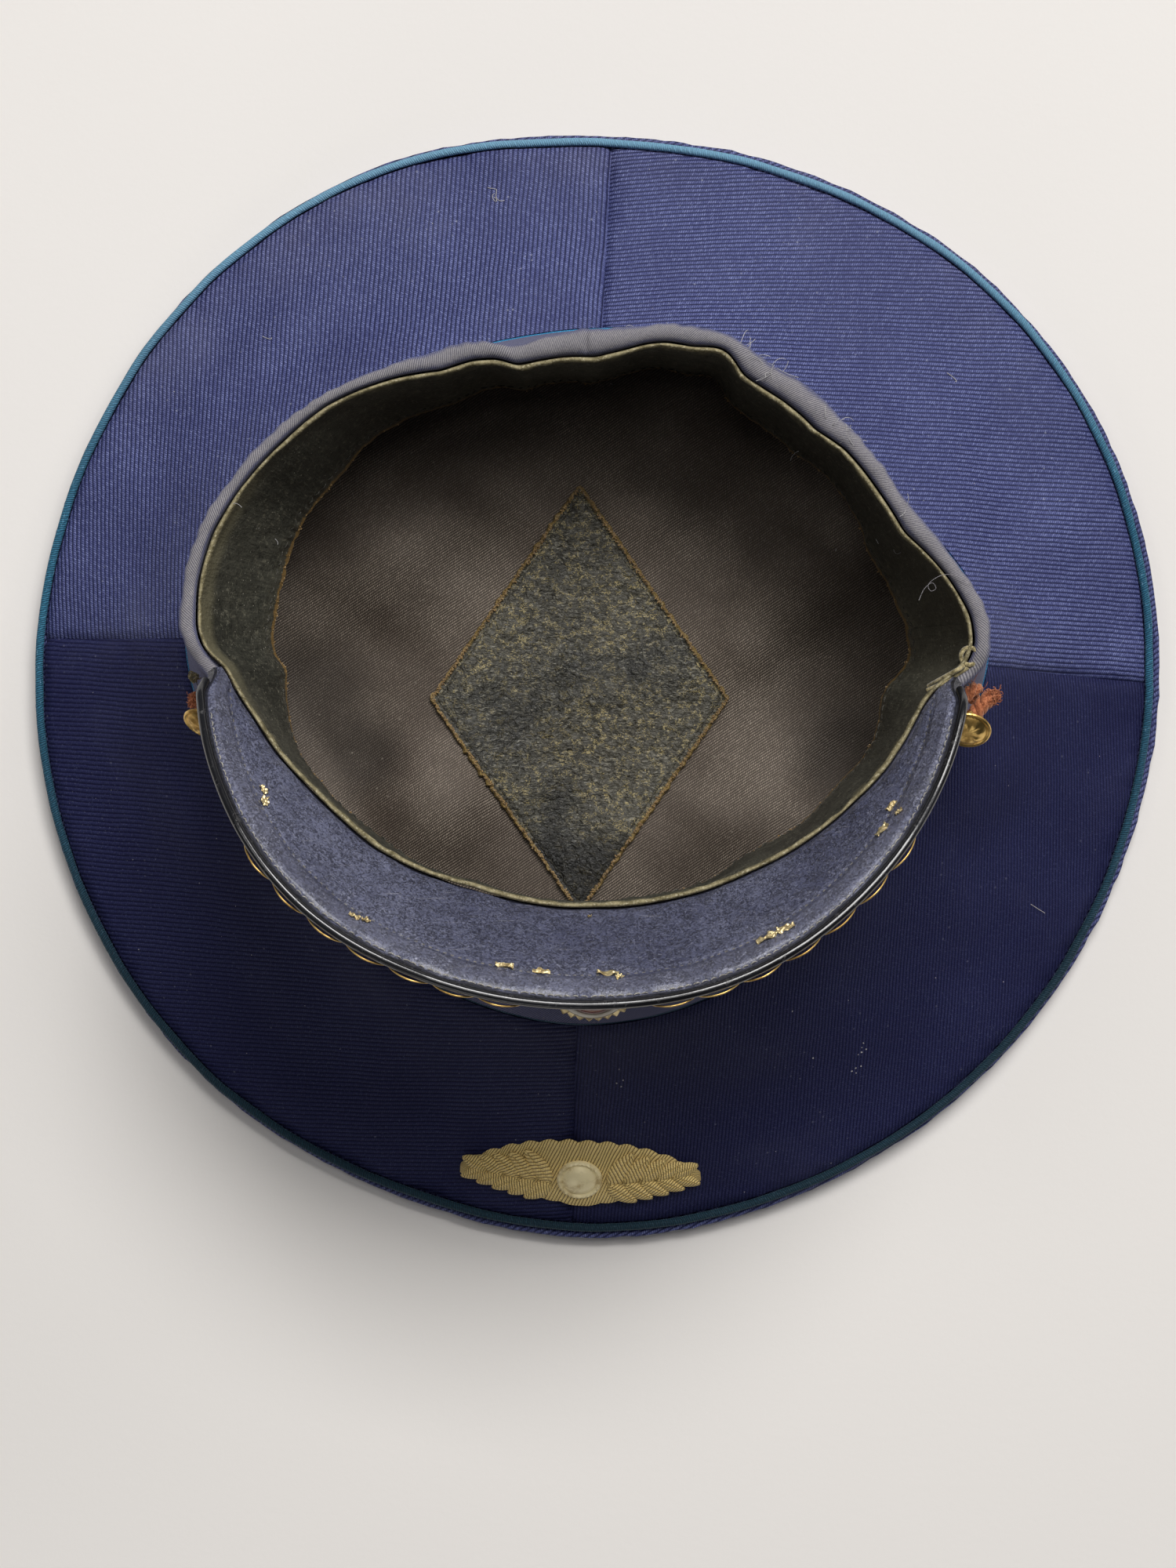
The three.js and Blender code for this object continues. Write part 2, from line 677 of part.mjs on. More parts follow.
// The cord's own route: an eye round one button, along the band above the visor, an eye round the other.
function chinCord() {
  const [left, right] = BUTTON_PLACES;
  const standOff = CORD.radius + CORD.clear;
  const eye = (place, mirrored) => {
    const { here, up, along, out } = bandFrame(place.at, BUTTON.height);
    return CORD.eyeTurns.map((turn) => {
      const sideways = CORD.eye * Math.cos(radians(turn)) * (mirrored ? -1 : 1);
      return here.clone()
        .addScaledVector(along, -sideways)
        .addScaledVector(up, CORD.eye * Math.sin(radians(turn)))
        .addScaledVector(out, standOff);
    });
  };
  const alongBand = evenly(14, left.at + CORD.free, right.at - CORD.free).map((angle) => {
    const { here, out } = bandFrame(angle, rimHeight(angle) - CORD.belowRim);
    return here.addScaledVector(out, standOff);
  });
  const route = new THREE.CatmullRomCurve3([
    ...eye(left, true),
    ...alongBand,
    ...eye(right, false).reverse(),
  ], false, 'centripetal');
  return tubeAlong(route, CORD.radius, CORD.steps, CORD.sides);
}

// ---- the assembly ----------------------------------------------------------------------------

const FINISHES = {
  uniformTwill: { color: '#232a58', roughness: 0.85, metalness: 0 },
  bandTwill: { color: '#3f4665', roughness: 0.9, metalness: 0 },
  piping: { color: '#17778f', roughness: 0.75, metalness: 0 },
  sweatbandOilcloth: { color: '#38392f', roughness: 0.6, metalness: 0 },
  liningTwill: { color: '#3f3530', roughness: 0.7, metalness: 0 },
  patchOilcloth: { color: '#23261f', roughness: 0.5, metalness: 0 },
  visorLeatherette: { color: '#2a2f42', roughness: 0.5, metalness: 0 },
  edgeVinyl: { color: '#4d5364', roughness: 0.4, metalness: 0 },
  giltMetal: { color: '#c9a24a', roughness: 0.3, metalness: 1 },
  paleBullion: { color: '#c8bb82', roughness: 0.45, metalness: 0.6 },
  orangeCord: { color: '#b4562c', roughness: 0.9, metalness: 0 },
};

const cap = new THREE.Group();

function add(name, geometry, finish) {
  const mesh = new THREE.Mesh(geometry, new THREE.MeshStandardMaterial(FINISHES[finish]));
  mesh.name = name;
  cap.add(mesh);
  return mesh;
}

add('crown_top', crownTop(), 'uniformTwill');
for (const piece of QUARTERS) {
  add(`crown_quarter_${piece.name}`, quarter(piece), 'uniformTwill');
}
add('crown_piping', pipingRing(crownPipingCentre, PIPING_RADIUS, PIPING_SIDES), 'piping');
add('cap_band', capBand(), 'bandTwill');
add('band_piping', bandPiping(), 'piping');
add('sweatband', sweatband(), 'sweatbandOilcloth');
add('lining', lining(), 'liningTwill');
add('lining_patch', liningPatch(), 'patchOilcloth');
add('visor', visor(), 'visorLeatherette');
add('visor_edge', visorEdge(), 'edgeVinyl');
add('leaf_spray_left', leafSpray(-1), 'giltMetal');
add('leaf_spray_right', leafSpray(1), 'giltMetal');
add('crown_badge', crownBadge(), 'paleBullion');
add('chin_cord', chinCord(), 'orangeCord');

const cockadeMesh = add('band_cockade', cockade(), 'giltMetal');
cockadeMesh.scale.set(1, 1, COCKADE.height / COCKADE.width);
standOnBand(cockadeMesh, joinHeight(COCKADE.at) + COCKADE.up, GAP, COCKADE);

for (const place of BUTTON_PLACES) {
  const mesh = add(`button_${place.name}`, button(), 'giltMetal');
  standOnBand(mesh, BUTTON.height, BUTTON.standOff, place);
}

export default cap;
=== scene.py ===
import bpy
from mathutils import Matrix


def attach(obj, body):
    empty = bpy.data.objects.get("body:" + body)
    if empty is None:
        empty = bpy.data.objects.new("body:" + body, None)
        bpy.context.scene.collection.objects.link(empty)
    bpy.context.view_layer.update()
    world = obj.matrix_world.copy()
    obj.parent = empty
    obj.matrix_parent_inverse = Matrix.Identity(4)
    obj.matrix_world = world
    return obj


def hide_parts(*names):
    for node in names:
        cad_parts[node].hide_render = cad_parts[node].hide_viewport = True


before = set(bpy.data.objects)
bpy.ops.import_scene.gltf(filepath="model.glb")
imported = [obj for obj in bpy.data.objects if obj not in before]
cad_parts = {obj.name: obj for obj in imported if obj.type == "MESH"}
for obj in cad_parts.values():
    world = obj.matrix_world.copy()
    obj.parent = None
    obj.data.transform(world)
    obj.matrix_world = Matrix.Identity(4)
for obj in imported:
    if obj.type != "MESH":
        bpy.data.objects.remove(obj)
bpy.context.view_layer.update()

# A peaked uniform cap, lying upside down on its crown: the head opening faces +Z and the visor is
# towards -Y. Measures are millimetres and degrees from +X towards +Y; points become metres in a mesh.

import math
import random

import bpy
import numpy as np
from mathutils import Matrix, Vector
from mathutils.bvhtree import BVHTree

MM = 0.001

# ---- measures of the cap ----------------------------------------------------------------------

RIM_CENTRE = (-3.0, 14.0)
CROWN_CENTRE = (0.0, 0.0)
VISOR_MIDDLE = 270.0
PIPING = 1.1
PATCH_SIDE = 72.5
RIM_LEVEL, RIM_TILT = 84.0, 0.105
JOIN_LEVEL, JOIN_TILT = 38.0, 0.1
CROWN_SEAM_LEVEL = 7.5
RING_STEP = 22.5

# Rings of the cap, a value every RING_STEP degrees: lean of the sweatband's free edge,
# where the band meets the quarters, the visor's outer edge, and the crown's outline.
RINGS = {
    "lean": (11, 2.6, 2.2, 0.6, 0, 1, 6.5, 12.5, 14, 0.8, -1, -2, -2, -1, 2, 2.8),
    "join": (106.5, 91, 87, 85.5, 81, 82.2, 92, 102, 106.5, 102, 100, 101.6, 103.5, 101.4, 98.8, 101),
    "visor": (94.5, 95, 95, 95, 95, 95, 95, 95, 95.5, 97.2, 97, 93.8, 92.5, 93.6, 94, 94.7),
    "crown": (156.2, 157.8, 157.1, 154.3, 153.2, 156.9, 157.6, 156.6, 156.2, 155.2, 154.1, 152, 153.2, 152,
              152.2, 153.8),
}
# Outline of the rolled edge, from RIM_CENTRE. Along the visor it lies hidden behind the visor's seam.
ROLL_LINE = (
    (0, 102.9), (2, 101.8), (5, 99.1), (11, 93.9), (21, 87.1), (29, 85.5), (38, 83.9), (46, 83.4),
    (54, 81.7), (60, 82.3), (63, 82.8), (67, 82.1), (70, 81.4), (74, 80.3), (78, 78.6), (83, 76.6),
    (88, 76.1), (94, 75.3), (98, 74.6), (103, 73.6), (106, 74.3), (109, 76.7), (112, 78.3), (115, 79.5),
    (118, 79.5), (121, 80.5), (130, 84.5), (140, 89.8), (150, 94.8), (158, 97.9), (166, 101.7), (174, 103.1),
    (179, 103.5), (184, 102.2), (188, 97.5), (193, 92.0), (203, 88.0), (219, 82.5), (237, 78.6), (256, 75.6),
    (272, 75.2), (286, 76.2), (303, 78.5), (317, 82.1), (334, 87.6), (346, 91.0), (350, 96.5), (354, 102.8),
    (357, 102.5),
)
# The sweatband's folded edge along the back, and the visor's seam along the front.
FOLD_LINE = (
    (1, 97.6), (7, 92.9), (16, 84.2), (24, 81.9), (34, 79.7), (40, 76.9), (45, 76.6), (52, 75.7), (56, 75.3),
    (58, 75.6), (60, 77.0), (62, 78.4), (64, 78.7), (66, 77.9), (69, 76.2), (74, 75.3), (78, 73.5),
    (81, 71.7), (84, 70.2), (88, 68.6), (95, 68.8), (101, 68.6), (105, 68.7), (109, 72.0), (113, 73.5),
    (120, 74.9), (128, 79.9), (140, 86.9), (149, 90.5), (159, 95.0), (167, 98.1), (174, 99.2), (181, 98.9),
    (184, 97.4), (187, 92.7), (192, 90.0), (197, 87.2), (203, 85.0), (211, 81.6), (219, 79.5), (227, 78.1),
    (237, 75.6), (247, 73.0), (256, 72.6), (272, 72.2), (286, 73.2), (303, 75.5), (317, 79.1), (326, 81.6),
    (334, 84.6), (342, 86.8), (346, 88.0), (349, 90.0), (352, 94.6), (354, 97.4), (357, 98.6),
)
VISOR_ENDS = (187.0, 351.5)


def radians(angle):
    return np.radians(angle)


def turn_between(a, b):
    """The signed turn from b to a, between -180 and 180 degrees."""
    return np.mod(np.asarray(a) - b + 180.0, 360.0) - 180.0


def bump(distance, spread):
    """1 at no distance, fading smoothly over the spread."""
    return np.exp(-((np.asarray(distance) / spread) ** 2))


def ease(value, low, high):
    """0 below low, 1 above high, and smooth between."""
    t = np.clip((np.asarray(value, float) - low) / (high - low), 0.0, 1.0)
    return t * t * (3.0 - 2.0 * t)


def smooth_between(a, b, c, d, t):
    """A smooth curve from b, where t is 0, to c, where t is 1. a and d come before and after them."""
    return b + 0.5 * t * (c - a + t * (2 * a - 5 * b + 4 * c - d + t * (3 * (b - c) + d - a)))


def ring_value(column, angle):
    """A smooth closed curve through one row of RINGS."""
    values = np.array(RINGS[column], float)
    place = np.mod(angle, 360.0) / RING_STEP
    row = np.floor(place).astype(int)
    return smooth_between(*(values[(row + step) % len(values)] for step in (-1, 0, 1, 2)), place - row)


def smooth_line(table, spread):
    """A closed line through a table of angle and radius, rounded off over a few degrees."""
    fine = np.arange(0.0, 360.0, 0.25)
    angles, radii = zip(*table)
    values = np.interp(fine, angles, radii, period=360.0)
    weights = bump(turn_between(fine, 0.0), spread)
    spectrum = np.fft.rfft(values) * np.fft.rfft(weights / weights.sum()).real
    rounded = np.fft.irfft(spectrum, len(fine))
    return lambda angle: np.interp(np.mod(angle, 360.0), fine, rounded, period=360.0)


roll_radius = smooth_line(ROLL_LINE, 1.6)
fold_radius = smooth_line(FOLD_LINE, 1.2)


def ripple(x, y, length, seed):
    """Chance unevenness between about -1 and 1, with bumps of about this length."""
    chance = random.Random(seed)
    total = 0.0
    for _ in range(7):
        turn, start = chance.uniform(0, math.tau), chance.uniform(0, math.tau)
        pace = math.tau / (length * chance.uniform(0.7, 1.6))
        total = total + np.sin((x * math.cos(turn) + y * math.sin(turn)) * pace + start)
    return total / 3.4


def on_ring(centre, angle, radius, height):
    turn = radians(angle)
    return np.stack(np.broadcast_arrays(
        centre[0] + radius * np.cos(turn), centre[1] + radius * np.sin(turn), height), axis=-1)


def heading(angle):
    """The way from a middle towards a bearing in degrees, as x and y."""
    return math.cos(math.radians(angle)), math.sin(math.radians(angle))


def on_section(section, centre, u, v):
    """A point on a closed hoop, u round it and v over its section. section(angle) gives one radius and one
    height for each row."""
    angle = 360.0 * u
    radii, heights = section(angle)
    row, pick = np.rint(v * (len(radii) - 1)).astype(int), np.arange(len(u))
    return on_ring(centre, angle, radii[row, pick], heights[row, pick])


def rim_height(angle):
    return RIM_LEVEL - RIM_TILT * (RIM_CENTRE[1] + roll_radius(angle) * np.sin(radians(angle)))


def join_height(angle):
    y = RIM_CENTRE[1] + ring_value("join", angle) * np.sin(radians(angle))
    return JOIN_LEVEL - JOIN_TILT * y + 2.5 * bump(turn_between(angle, VISOR_MIDDLE), 18.0)


def visor_share(angle):
    """1 along the visor and 0 along the back."""
    middle, half = sum(VISOR_ENDS) / 2, (VISOR_ENDS[1] - VISOR_ENDS[0]) / 2
    return 1.0 - ease(np.abs(turn_between(angle, middle)), half + 0.5, half + 5.0)


def band_top(angle):
    return rim_height(angle) - 2.4 * visor_share(angle)


def band_wall(angle, share):
    """The band's outer face, from its foot at the piping (0) to the roll (1): radius and height."""
    foot, foot_height = ring_value("join", angle) + 0.6, join_height(angle) + 1.4
    head, head_height = roll_radius(angle) - 1.0, band_top(angle) - 7.0
    return foot + (head - foot) * share, foot_height + (head_height - foot_height) * share


def band_radius(angle, height):
    foot_radius, foot_height = band_wall(angle, 0.0)
    head_radius, head_height = band_wall(angle, 1.0)
    return foot_radius + (head_radius - foot_radius) * (height - foot_height) / (head_height - foot_height)


def crown_lip(angle):
    return (0.45 + 1.7 * bump(turn_between(angle, 0.0), 33.0)
            + 1.7 * bump(turn_between(angle, VISOR_MIDDLE), 33.0)
            + 1.1 * bump(turn_between(angle, 76.0), 40.0))


def crown_piping_centre(angle):
    wave = 0.12 * ripple(np.asarray(angle) * 2.6, 0.0, 22.0, 5)
    radius = ring_value("crown", angle) - crown_lip(angle) - PIPING + wave
    return on_ring(CROWN_CENTRE, angle, radius, CROWN_SEAM_LEVEL)


def band_piping_centre(angle):
    return on_ring(RIM_CENTRE, angle, ring_value("join", angle), join_height(angle))


# ---- modelling helpers ------------------------------------------------------------------------

def only(piece):
    """Makes one piece the selected and active one."""
    bpy.ops.object.select_all(action="DESELECT")
    piece.select_set(True)
    bpy.context.view_layer.objects.active = piece


def named(piece, name):
    piece.name = name
    piece.data.name = name
    return piece


def started(name, add, **settings):
    """A new primitive under its own name, and the only piece selected."""
    bpy.ops.object.select_all(action="DESELECT")
    add(**settings)
    return named(bpy.context.active_object, name)


def editing(piece, *steps):
    """Runs edit-mode steps on all of a piece."""
    only(piece)
    bpy.ops.object.mode_set(mode="EDIT")
    bpy.ops.mesh.select_all(action="SELECT")
    for step in steps:
        step()
    bpy.ops.object.mode_set(mode="OBJECT")


def face_outwards(piece):
    editing(piece, lambda: bpy.ops.mesh.normals_make_consistent(inside=False))


def finish_with(piece, kind, **settings):
    """Adds a modifier and applies it."""
    only(piece)
    modifier = piece.modifiers.new(kind.title(), kind)
    for key, value in settings.items():
        setattr(modifier, key, value)
    bpy.ops.object.modifier_apply(modifier=modifier.name)


def smooth(piece, angle=60.0):
    only(piece)
    bpy.ops.object.shade_smooth_by_angle(angle=math.radians(angle))


def points_of(piece):
    points = np.empty(len(piece.data.vertices) * 3)
    piece.data.vertices.foreach_get("co", points)
    return points.reshape(-1, 3)


def move_points(piece, points):
    piece.data.vertices.foreach_set("co", np.asarray(points, float).ravel())
    piece.data.update()


def cloth_grid(name, columns, rows, place, flat, join_round=False, flip=False, thickness=0.0):
    """A grid primitive laid over a surface. place(u, v) gives its points, and flat(u, v) where the same
    points lie on the uncut cloth, which becomes the UV map, both in millimetres."""
    piece = started(name, bpy.ops.mesh.primitive_grid_add, x_subdivisions=columns, y_subdivisions=rows,
                    size=2)
    start = points_of(piece)
    u, v = (start[:, 0] + 1) / 2, (start[:, 1] + 1) / 2
    corner = np.empty(len(piece.data.loops), int)
    piece.data.loops.foreach_get("vertex_index", corner)
    cloth = np.stack(np.broadcast_arrays(*flat(u, v)), axis=-1)[corner]
    piece.data.uv_layers.active.data.foreach_set("uv", cloth.ravel())
    move_points(piece, place(u, v) * MM)
    steps = [lambda: bpy.ops.mesh.remove_doubles(threshold=1e-6)] if join_round else []
    if flip:
        steps.append(bpy.ops.mesh.flip_normals)
    if steps:
        editing(piece, *steps)
    if thickness:
        finish_with(piece, "SOLIDIFY", thickness=thickness * MM, offset=-1)
    smooth(piece)
    return piece


def ring_tube(name, centre_of, radius, steps, sides, length):
    """A tube round a closed ring. Its UV map runs along the ring and round the tube, in millimetres."""
    def place(u, v):
        angle, turn = 360.0 * u, 2 * math.pi * v
        wobble = radius * (1 + 0.04 * ripple(angle * 2.6, v * 20, 9.0, 11))
        offset = on_ring((0, 0), angle, wobble * np.cos(turn), wobble * np.sin(turn))
        return centre_of(angle) + offset
    return cloth_grid(name, steps, sides, place, lambda u, v: (u * length, v * 2 * math.pi * radius),
                      join_round=True)


def tubes(name, routes, radius, sides=4):
    """Threads along lists of points in millimetres, as one mesh."""
    curve = bpy.data.curves.new(name, "CURVE")
    curve.dimensions = "3D"
    curve.bevel_depth = radius * MM
    curve.bevel_resolution = max(0, sides // 2 - 2)
    curve.use_fill_caps = True
    for route in routes:
        spline = curve.splines.new("POLY")
        spline.points.add(len(route) - 1)
        for point, here in zip(spline.points, route):
            point.co = (*(np.asarray(here, float) * MM), 1.0)
    piece = bpy.data.objects.new(name, curve)
    bpy.context.scene.collection.objects.link(piece)
    only(piece)
    bpy.ops.object.convert(target="MESH")
    piece = named(bpy.context.active_object, name)
    smooth(piece)
    return piece


def copies(name, pattern, places):
    """One mesh of many copies of a pattern piece, at 4x4 matrices in metres. The pattern is removed."""
    points = points_of(pattern)
    faces = [tuple(face.vertices) for face in pattern.data.polygons]
    all_points, all_faces = [], []
    for place in places:
        matrix = np.array(place)
        base = len(all_points) * len(points)
        all_points.append(points @ matrix[:3, :3].T + matrix[:3, 3])
        all_faces.extend(tuple(base + index for index in face) for face in faces)
    mesh = bpy.data.meshes.new(name)
    mesh.from_pydata(np.concatenate(all_points).tolist(), [], all_faces)
    piece = bpy.data.objects.new(name, mesh)
    bpy.context.scene.collection.objects.link(piece)
    bpy.data.objects.remove(pattern)
    smooth(piece)
    return piece


def frame_at(origin, along, up, scale=(1, 1, 1)):
    """A matrix whose X runs along, Z up; origin in millimetres."""
    x = Vector(along).normalized()
    z = Vector(up)
    z = (z - x * z.dot(x)).normalized()
    y = z.cross(x)
    matrix = Matrix((x * scale[0], y * scale[1], z * scale[2])).transposed().to_4x4()
    matrix.translation = Vector(origin) * MM
    return matrix


def place_piece(piece, matrix):
    """Puts a piece modelled at the origin in its place, in its mesh."""
    piece.data.transform(matrix)
    piece.data.update()


def hoop(name, columns, section):
    """A grid bent round the head opening. Its UV map has the length round the cap, and the length over the
    section, counted from its highest row."""
    fine = np.arange(0.0, 360.0, 3.0)
    radii, heights = section(fine)
    rows = len(radii) - 1
    runs = np.hypot(np.diff(radii, axis=0), np.diff(heights, axis=0)).mean(axis=1)
    over = np.concatenate(([0.0], np.cumsum(runs)))
    over -= over[heights.mean(axis=1).argmax()]
    around = 2 * math.pi * radii.mean()
    return cloth_grid(name, columns, rows, lambda u, v: on_section(section, RIM_CENTRE, u, v),
                      lambda u, v: (u * around, over[np.rint(v * rows).astype(int)]), join_round=True)


def joined(name, pieces):
    """Several pieces as one mesh."""
    bpy.ops.object.select_all(action="DESELECT")
    for piece in pieces:
        piece.select_set(True)
    bpy.context.view_layer.objects.active = pieces[0]
    bpy.ops.object.join()
    return named(bpy.context.active_object, name)


def turned(name, profile, steps, relief_on):
    """A round piece from a circle primitive, extruded and resized ring after ring. profile rows are radius
    and height in millimetres. relief_on(points) then moves its points, in metres."""
    first_radius, first_height = profile[0]
    piece = started(name, bpy.ops.mesh.primitive_circle_add, vertices=steps, radius=first_radius * MM,
                    fill_type="NGON", location=(0, 0, first_height * MM))
    bpy.ops.object.transform_apply(location=True, rotation=True, scale=True)
    bpy.ops.object.mode_set(mode="EDIT")
    bpy.ops.mesh.select_all(action="SELECT")
    for (radius, height), (next_radius, next_height) in zip(profile, profile[1:]):
        rise, growth = (next_height - height) * MM, next_radius / radius
        bpy.ops.mesh.extrude_region_move(TRANSFORM_OT_translate={"value": (0, 0, rise)})
        bpy.ops.transform.resize(value=(growth, growth, 1), center_override=(0, 0, next_height * MM))
    bpy.ops.mesh.select_all(action="SELECT")
    bpy.ops.mesh.normals_make_consistent(inside=False)
    bpy.ops.object.mode_set(mode="OBJECT")
    move_points(piece, relief_on(points_of(piece)))
    smooth(piece, 35.0)
    return piece


def polar(points):
    """The radius in millimetres and the turn of a turned piece's points."""
    return np.hypot(points[:, 0], points[:, 1]) / MM, np.arctan2(points[:, 1], points[:, 0])


SKY_LEVEL, NEAR_LEVEL = 0.3, 0.08


def surface_under(*pieces):
    """A function that gives the surface point and normal below a place in millimetres, or the nearest."""
    trees = [BVHTree.FromPolygons([v.co[:] for v in p.data.vertices],
                                  [tuple(f.vertices) for f in p.data.polygons])
             for p in pieces]

    def find(x, y):
        hits = [tree.ray_cast(Vector((x * MM, y * MM, SKY_LEVEL)), Vector((0, 0, -1))) for tree in trees]
        hits = [hit for hit in hits if hit[0] is not None]
        if not hits:
            nearest = [tree.find_nearest(Vector((x * MM, y * MM, NEAR_LEVEL))) for tree in trees]
            hits = [min(nearest, key=lambda hit: hit[3])]
        point, normal = max(hits, key=lambda hit: hit[0].z)[:2]
        return point / MM, normal if normal.z > 0 else -normal
    return find


def made(piece, finish, slot, *nodes):
    """Gives a piece its material and its body, and hides the CAD nodes it stands for. slot is not used."""
    piece.data.materials.clear()
    piece.data.materials.append(finish)
    if nodes:
        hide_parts(*nodes)
    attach(piece, "root")


# ---- materials --------------------------------------------------------------------------------

class Nodes:
    """Short ways to add nodes to a node tree and wire them up."""

    def __init__(self, tree):
        self.tree = tree

    def add(self, kind, inputs=None, **settings):
        node = self.tree.nodes.new(kind)
        for key, value in settings.items():
            setattr(node, key, value)
        for key, value in (inputs or {}).items():
            self.feed(node.inputs[key], value)
        return node

    def feed(self, socket, value):
        if isinstance(value, bpy.types.NodeSocket):
            self.tree.links.new(value, socket)
        elif isinstance(value, tuple) and len(value) == 3 and socket.type == "RGBA":
            socket.default_value = (*value, 1)
        else:
            socket.default_value = value

    def math(self, operation, a, b=0.0, c=0.0, clamp=False):
        node = self.add("ShaderNodeMath", operation=operation, use_clamp=clamp)
        for socket, value in zip(node.inputs, (a, b, c)):
            self.feed(socket, value)
        return node.outputs[0]

    def times(self, a, b, clamp=False):
        return self.math("MULTIPLY", a, b, clamp=clamp)

    def plus(self, a, b):
        return self.math("ADD", a, b)

    def off(self, value, middle):
        """How far a value is from a middle, either way."""
        return self.math("ABSOLUTE", self.math("SUBTRACT", value, middle))

    def centred(self, value, width):
        """A value from 0 to 1 made one of this width, half of it below 0."""
        return self.math("MULTIPLY_ADD", value, width, -width / 2)

    def parts(self, vector):
        return self.add("ShaderNodeSeparateXYZ", {0: vector}).outputs

    def blend(self, share, a, b):
        node = self.add("ShaderNodeMix", data_type="RGBA")
        for place, value in ((0, share), (6, a), (7, b)):
            self.feed(node.inputs[place], value)
        return node.outputs[2]

    def between(self, share, a, b):
        node = self.add("ShaderNodeMix")
        for place, value in ((0, share), (2, a), (3, b)):
            self.feed(node.inputs[place], value)
        return node.outputs[0]

    def step(self, value, low, high):
        node = self.add("ShaderNodeMapRange", {0: value, 1: low, 2: high}, interpolation_type="SMOOTHSTEP")
        return node.outputs[0]

    def noise(self, vector, scale, detail=2.0, rough=0.5, warp=0.0):
        node = self.add("ShaderNodeTexNoise", {"Vector": vector, "Scale": scale, "Detail": detail,
                                               "Roughness": rough, "Distortion": warp})
        return node.outputs[0]

    def stretch(self, vector, scale, turn=0.0):
        """A vector turned by some degrees and stretched."""
        node = self.add("ShaderNodeMapping", {"Vector": vector, "Rotation": (0, 0, math.radians(turn)),
                                              "Scale": scale})
        return node.outputs[0]

    def specks(self, vector, scale, size):
        """Small scattered spots."""
        node = self.add("ShaderNodeTexVoronoi", {"Vector": vector, "Scale": scale})
        return self.step(node.outputs["Distance"], size, size * 0.5)

    def group(self, group, **inputs):
        node = self.add("ShaderNodeGroup", node_tree=group)
        for key, value in inputs.items():
            self.feed(node.inputs[key.replace("_", " ")], value)
        return node.outputs


def effect(name, inputs, outputs):
    """A new node group. inputs and outputs are names with a socket kind and, for a number, its value."""
    tree = bpy.data.node_groups.new(name, "ShaderNodeTree")
    for key, kind, value in inputs:
        socket = tree.interface.new_socket(name=key, in_out="INPUT", socket_type=f"NodeSocket{kind}")
        if value is not None:
            socket.default_value = value
    for key, kind in outputs:
        tree.interface.new_socket(name=key, in_out="OUTPUT", socket_type=f"NodeSocket{kind}")
    nodes = Nodes(tree)
    return tree, nodes, nodes.add("NodeGroupInput").outputs, nodes.add("NodeGroupOutput")


def make_twill():
    """Rounded ribs, each a row of slanted yarns of uneven brightness. The vector is in millimetres."""
    tree, n, given, out = effect("twill_weave", (
        ("Vector", "Vector", None), ("Pitch", "Float", 1.28), ("Angle", "Float", 0.0), ("Yarn", "Float", 1.0),
    ), (("Rib", "Float"), ("Yarn", "Float"), ("Height", "Float"), ("Shade", "Float")))
    turned_vector = n.add("ShaderNodeVectorRotate", {"Vector": given["Vector"], "Angle": given["Angle"]},
                          rotation_type="Z_AXIS").outputs[0]
    along, across, _ = n.parts(turned_vector)
    wander = n.plus(n.centred(n.noise(given["Vector"], 0.05, 2), 0.9),
                    n.times(n.noise(given["Vector"], 0.7, 1), 0.14))
    place = n.plus(n.math("DIVIDE", across, given["Pitch"]), wander)
    rib_number = n.math("FLOOR", place)
    side = n.math("SUBTRACT", n.math("FRACT", place), 0.5)
    rib = n.math("MULTIPLY_ADD", n.math("COSINE", n.times(side, math.tau)), 0.5, 0.5)
    shift = n.math("FRACT", n.times(n.math("SINE", n.times(rib_number, 78.2)), 43.7))
    jitter = n.times(n.noise(given["Vector"], 1.3, 1), 0.8)
    yarn_place = n.plus(n.math("DIVIDE", along, given["Yarn"]),
                        n.plus(n.math("MULTIPLY_ADD", side, -1.1, shift), jitter))
    yarn_number = n.math("FLOOR", yarn_place)
    chance = n.add("ShaderNodeTexWhiteNoise", {"Vector": n.add("ShaderNodeCombineXYZ", {
        0: rib_number, 1: yarn_number}).outputs[0]}, noise_dimensions="2D").outputs[0]
    yarn_side = n.off(n.math("FRACT", yarn_place), 0.5)
    dash = n.times(n.step(yarn_side, 0.42, 0.12), n.step(n.math("ABSOLUTE", side), 0.42, 0.16))
    bright = n.math("MULTIPLY_ADD", n.math("POWER", chance, 1.6), 0.65, 0.35)
    yarn = n.times(dash, bright)
    height = n.plus(n.times(rib, 0.6), n.times(dash, 0.4))
    for key, value in (("Rib", rib), ("Yarn", yarn), ("Height", height),
                       ("Shade", n.noise(given["Vector"], 0.03, 4))):
        n.feed(out.inputs[key], value)
    return tree


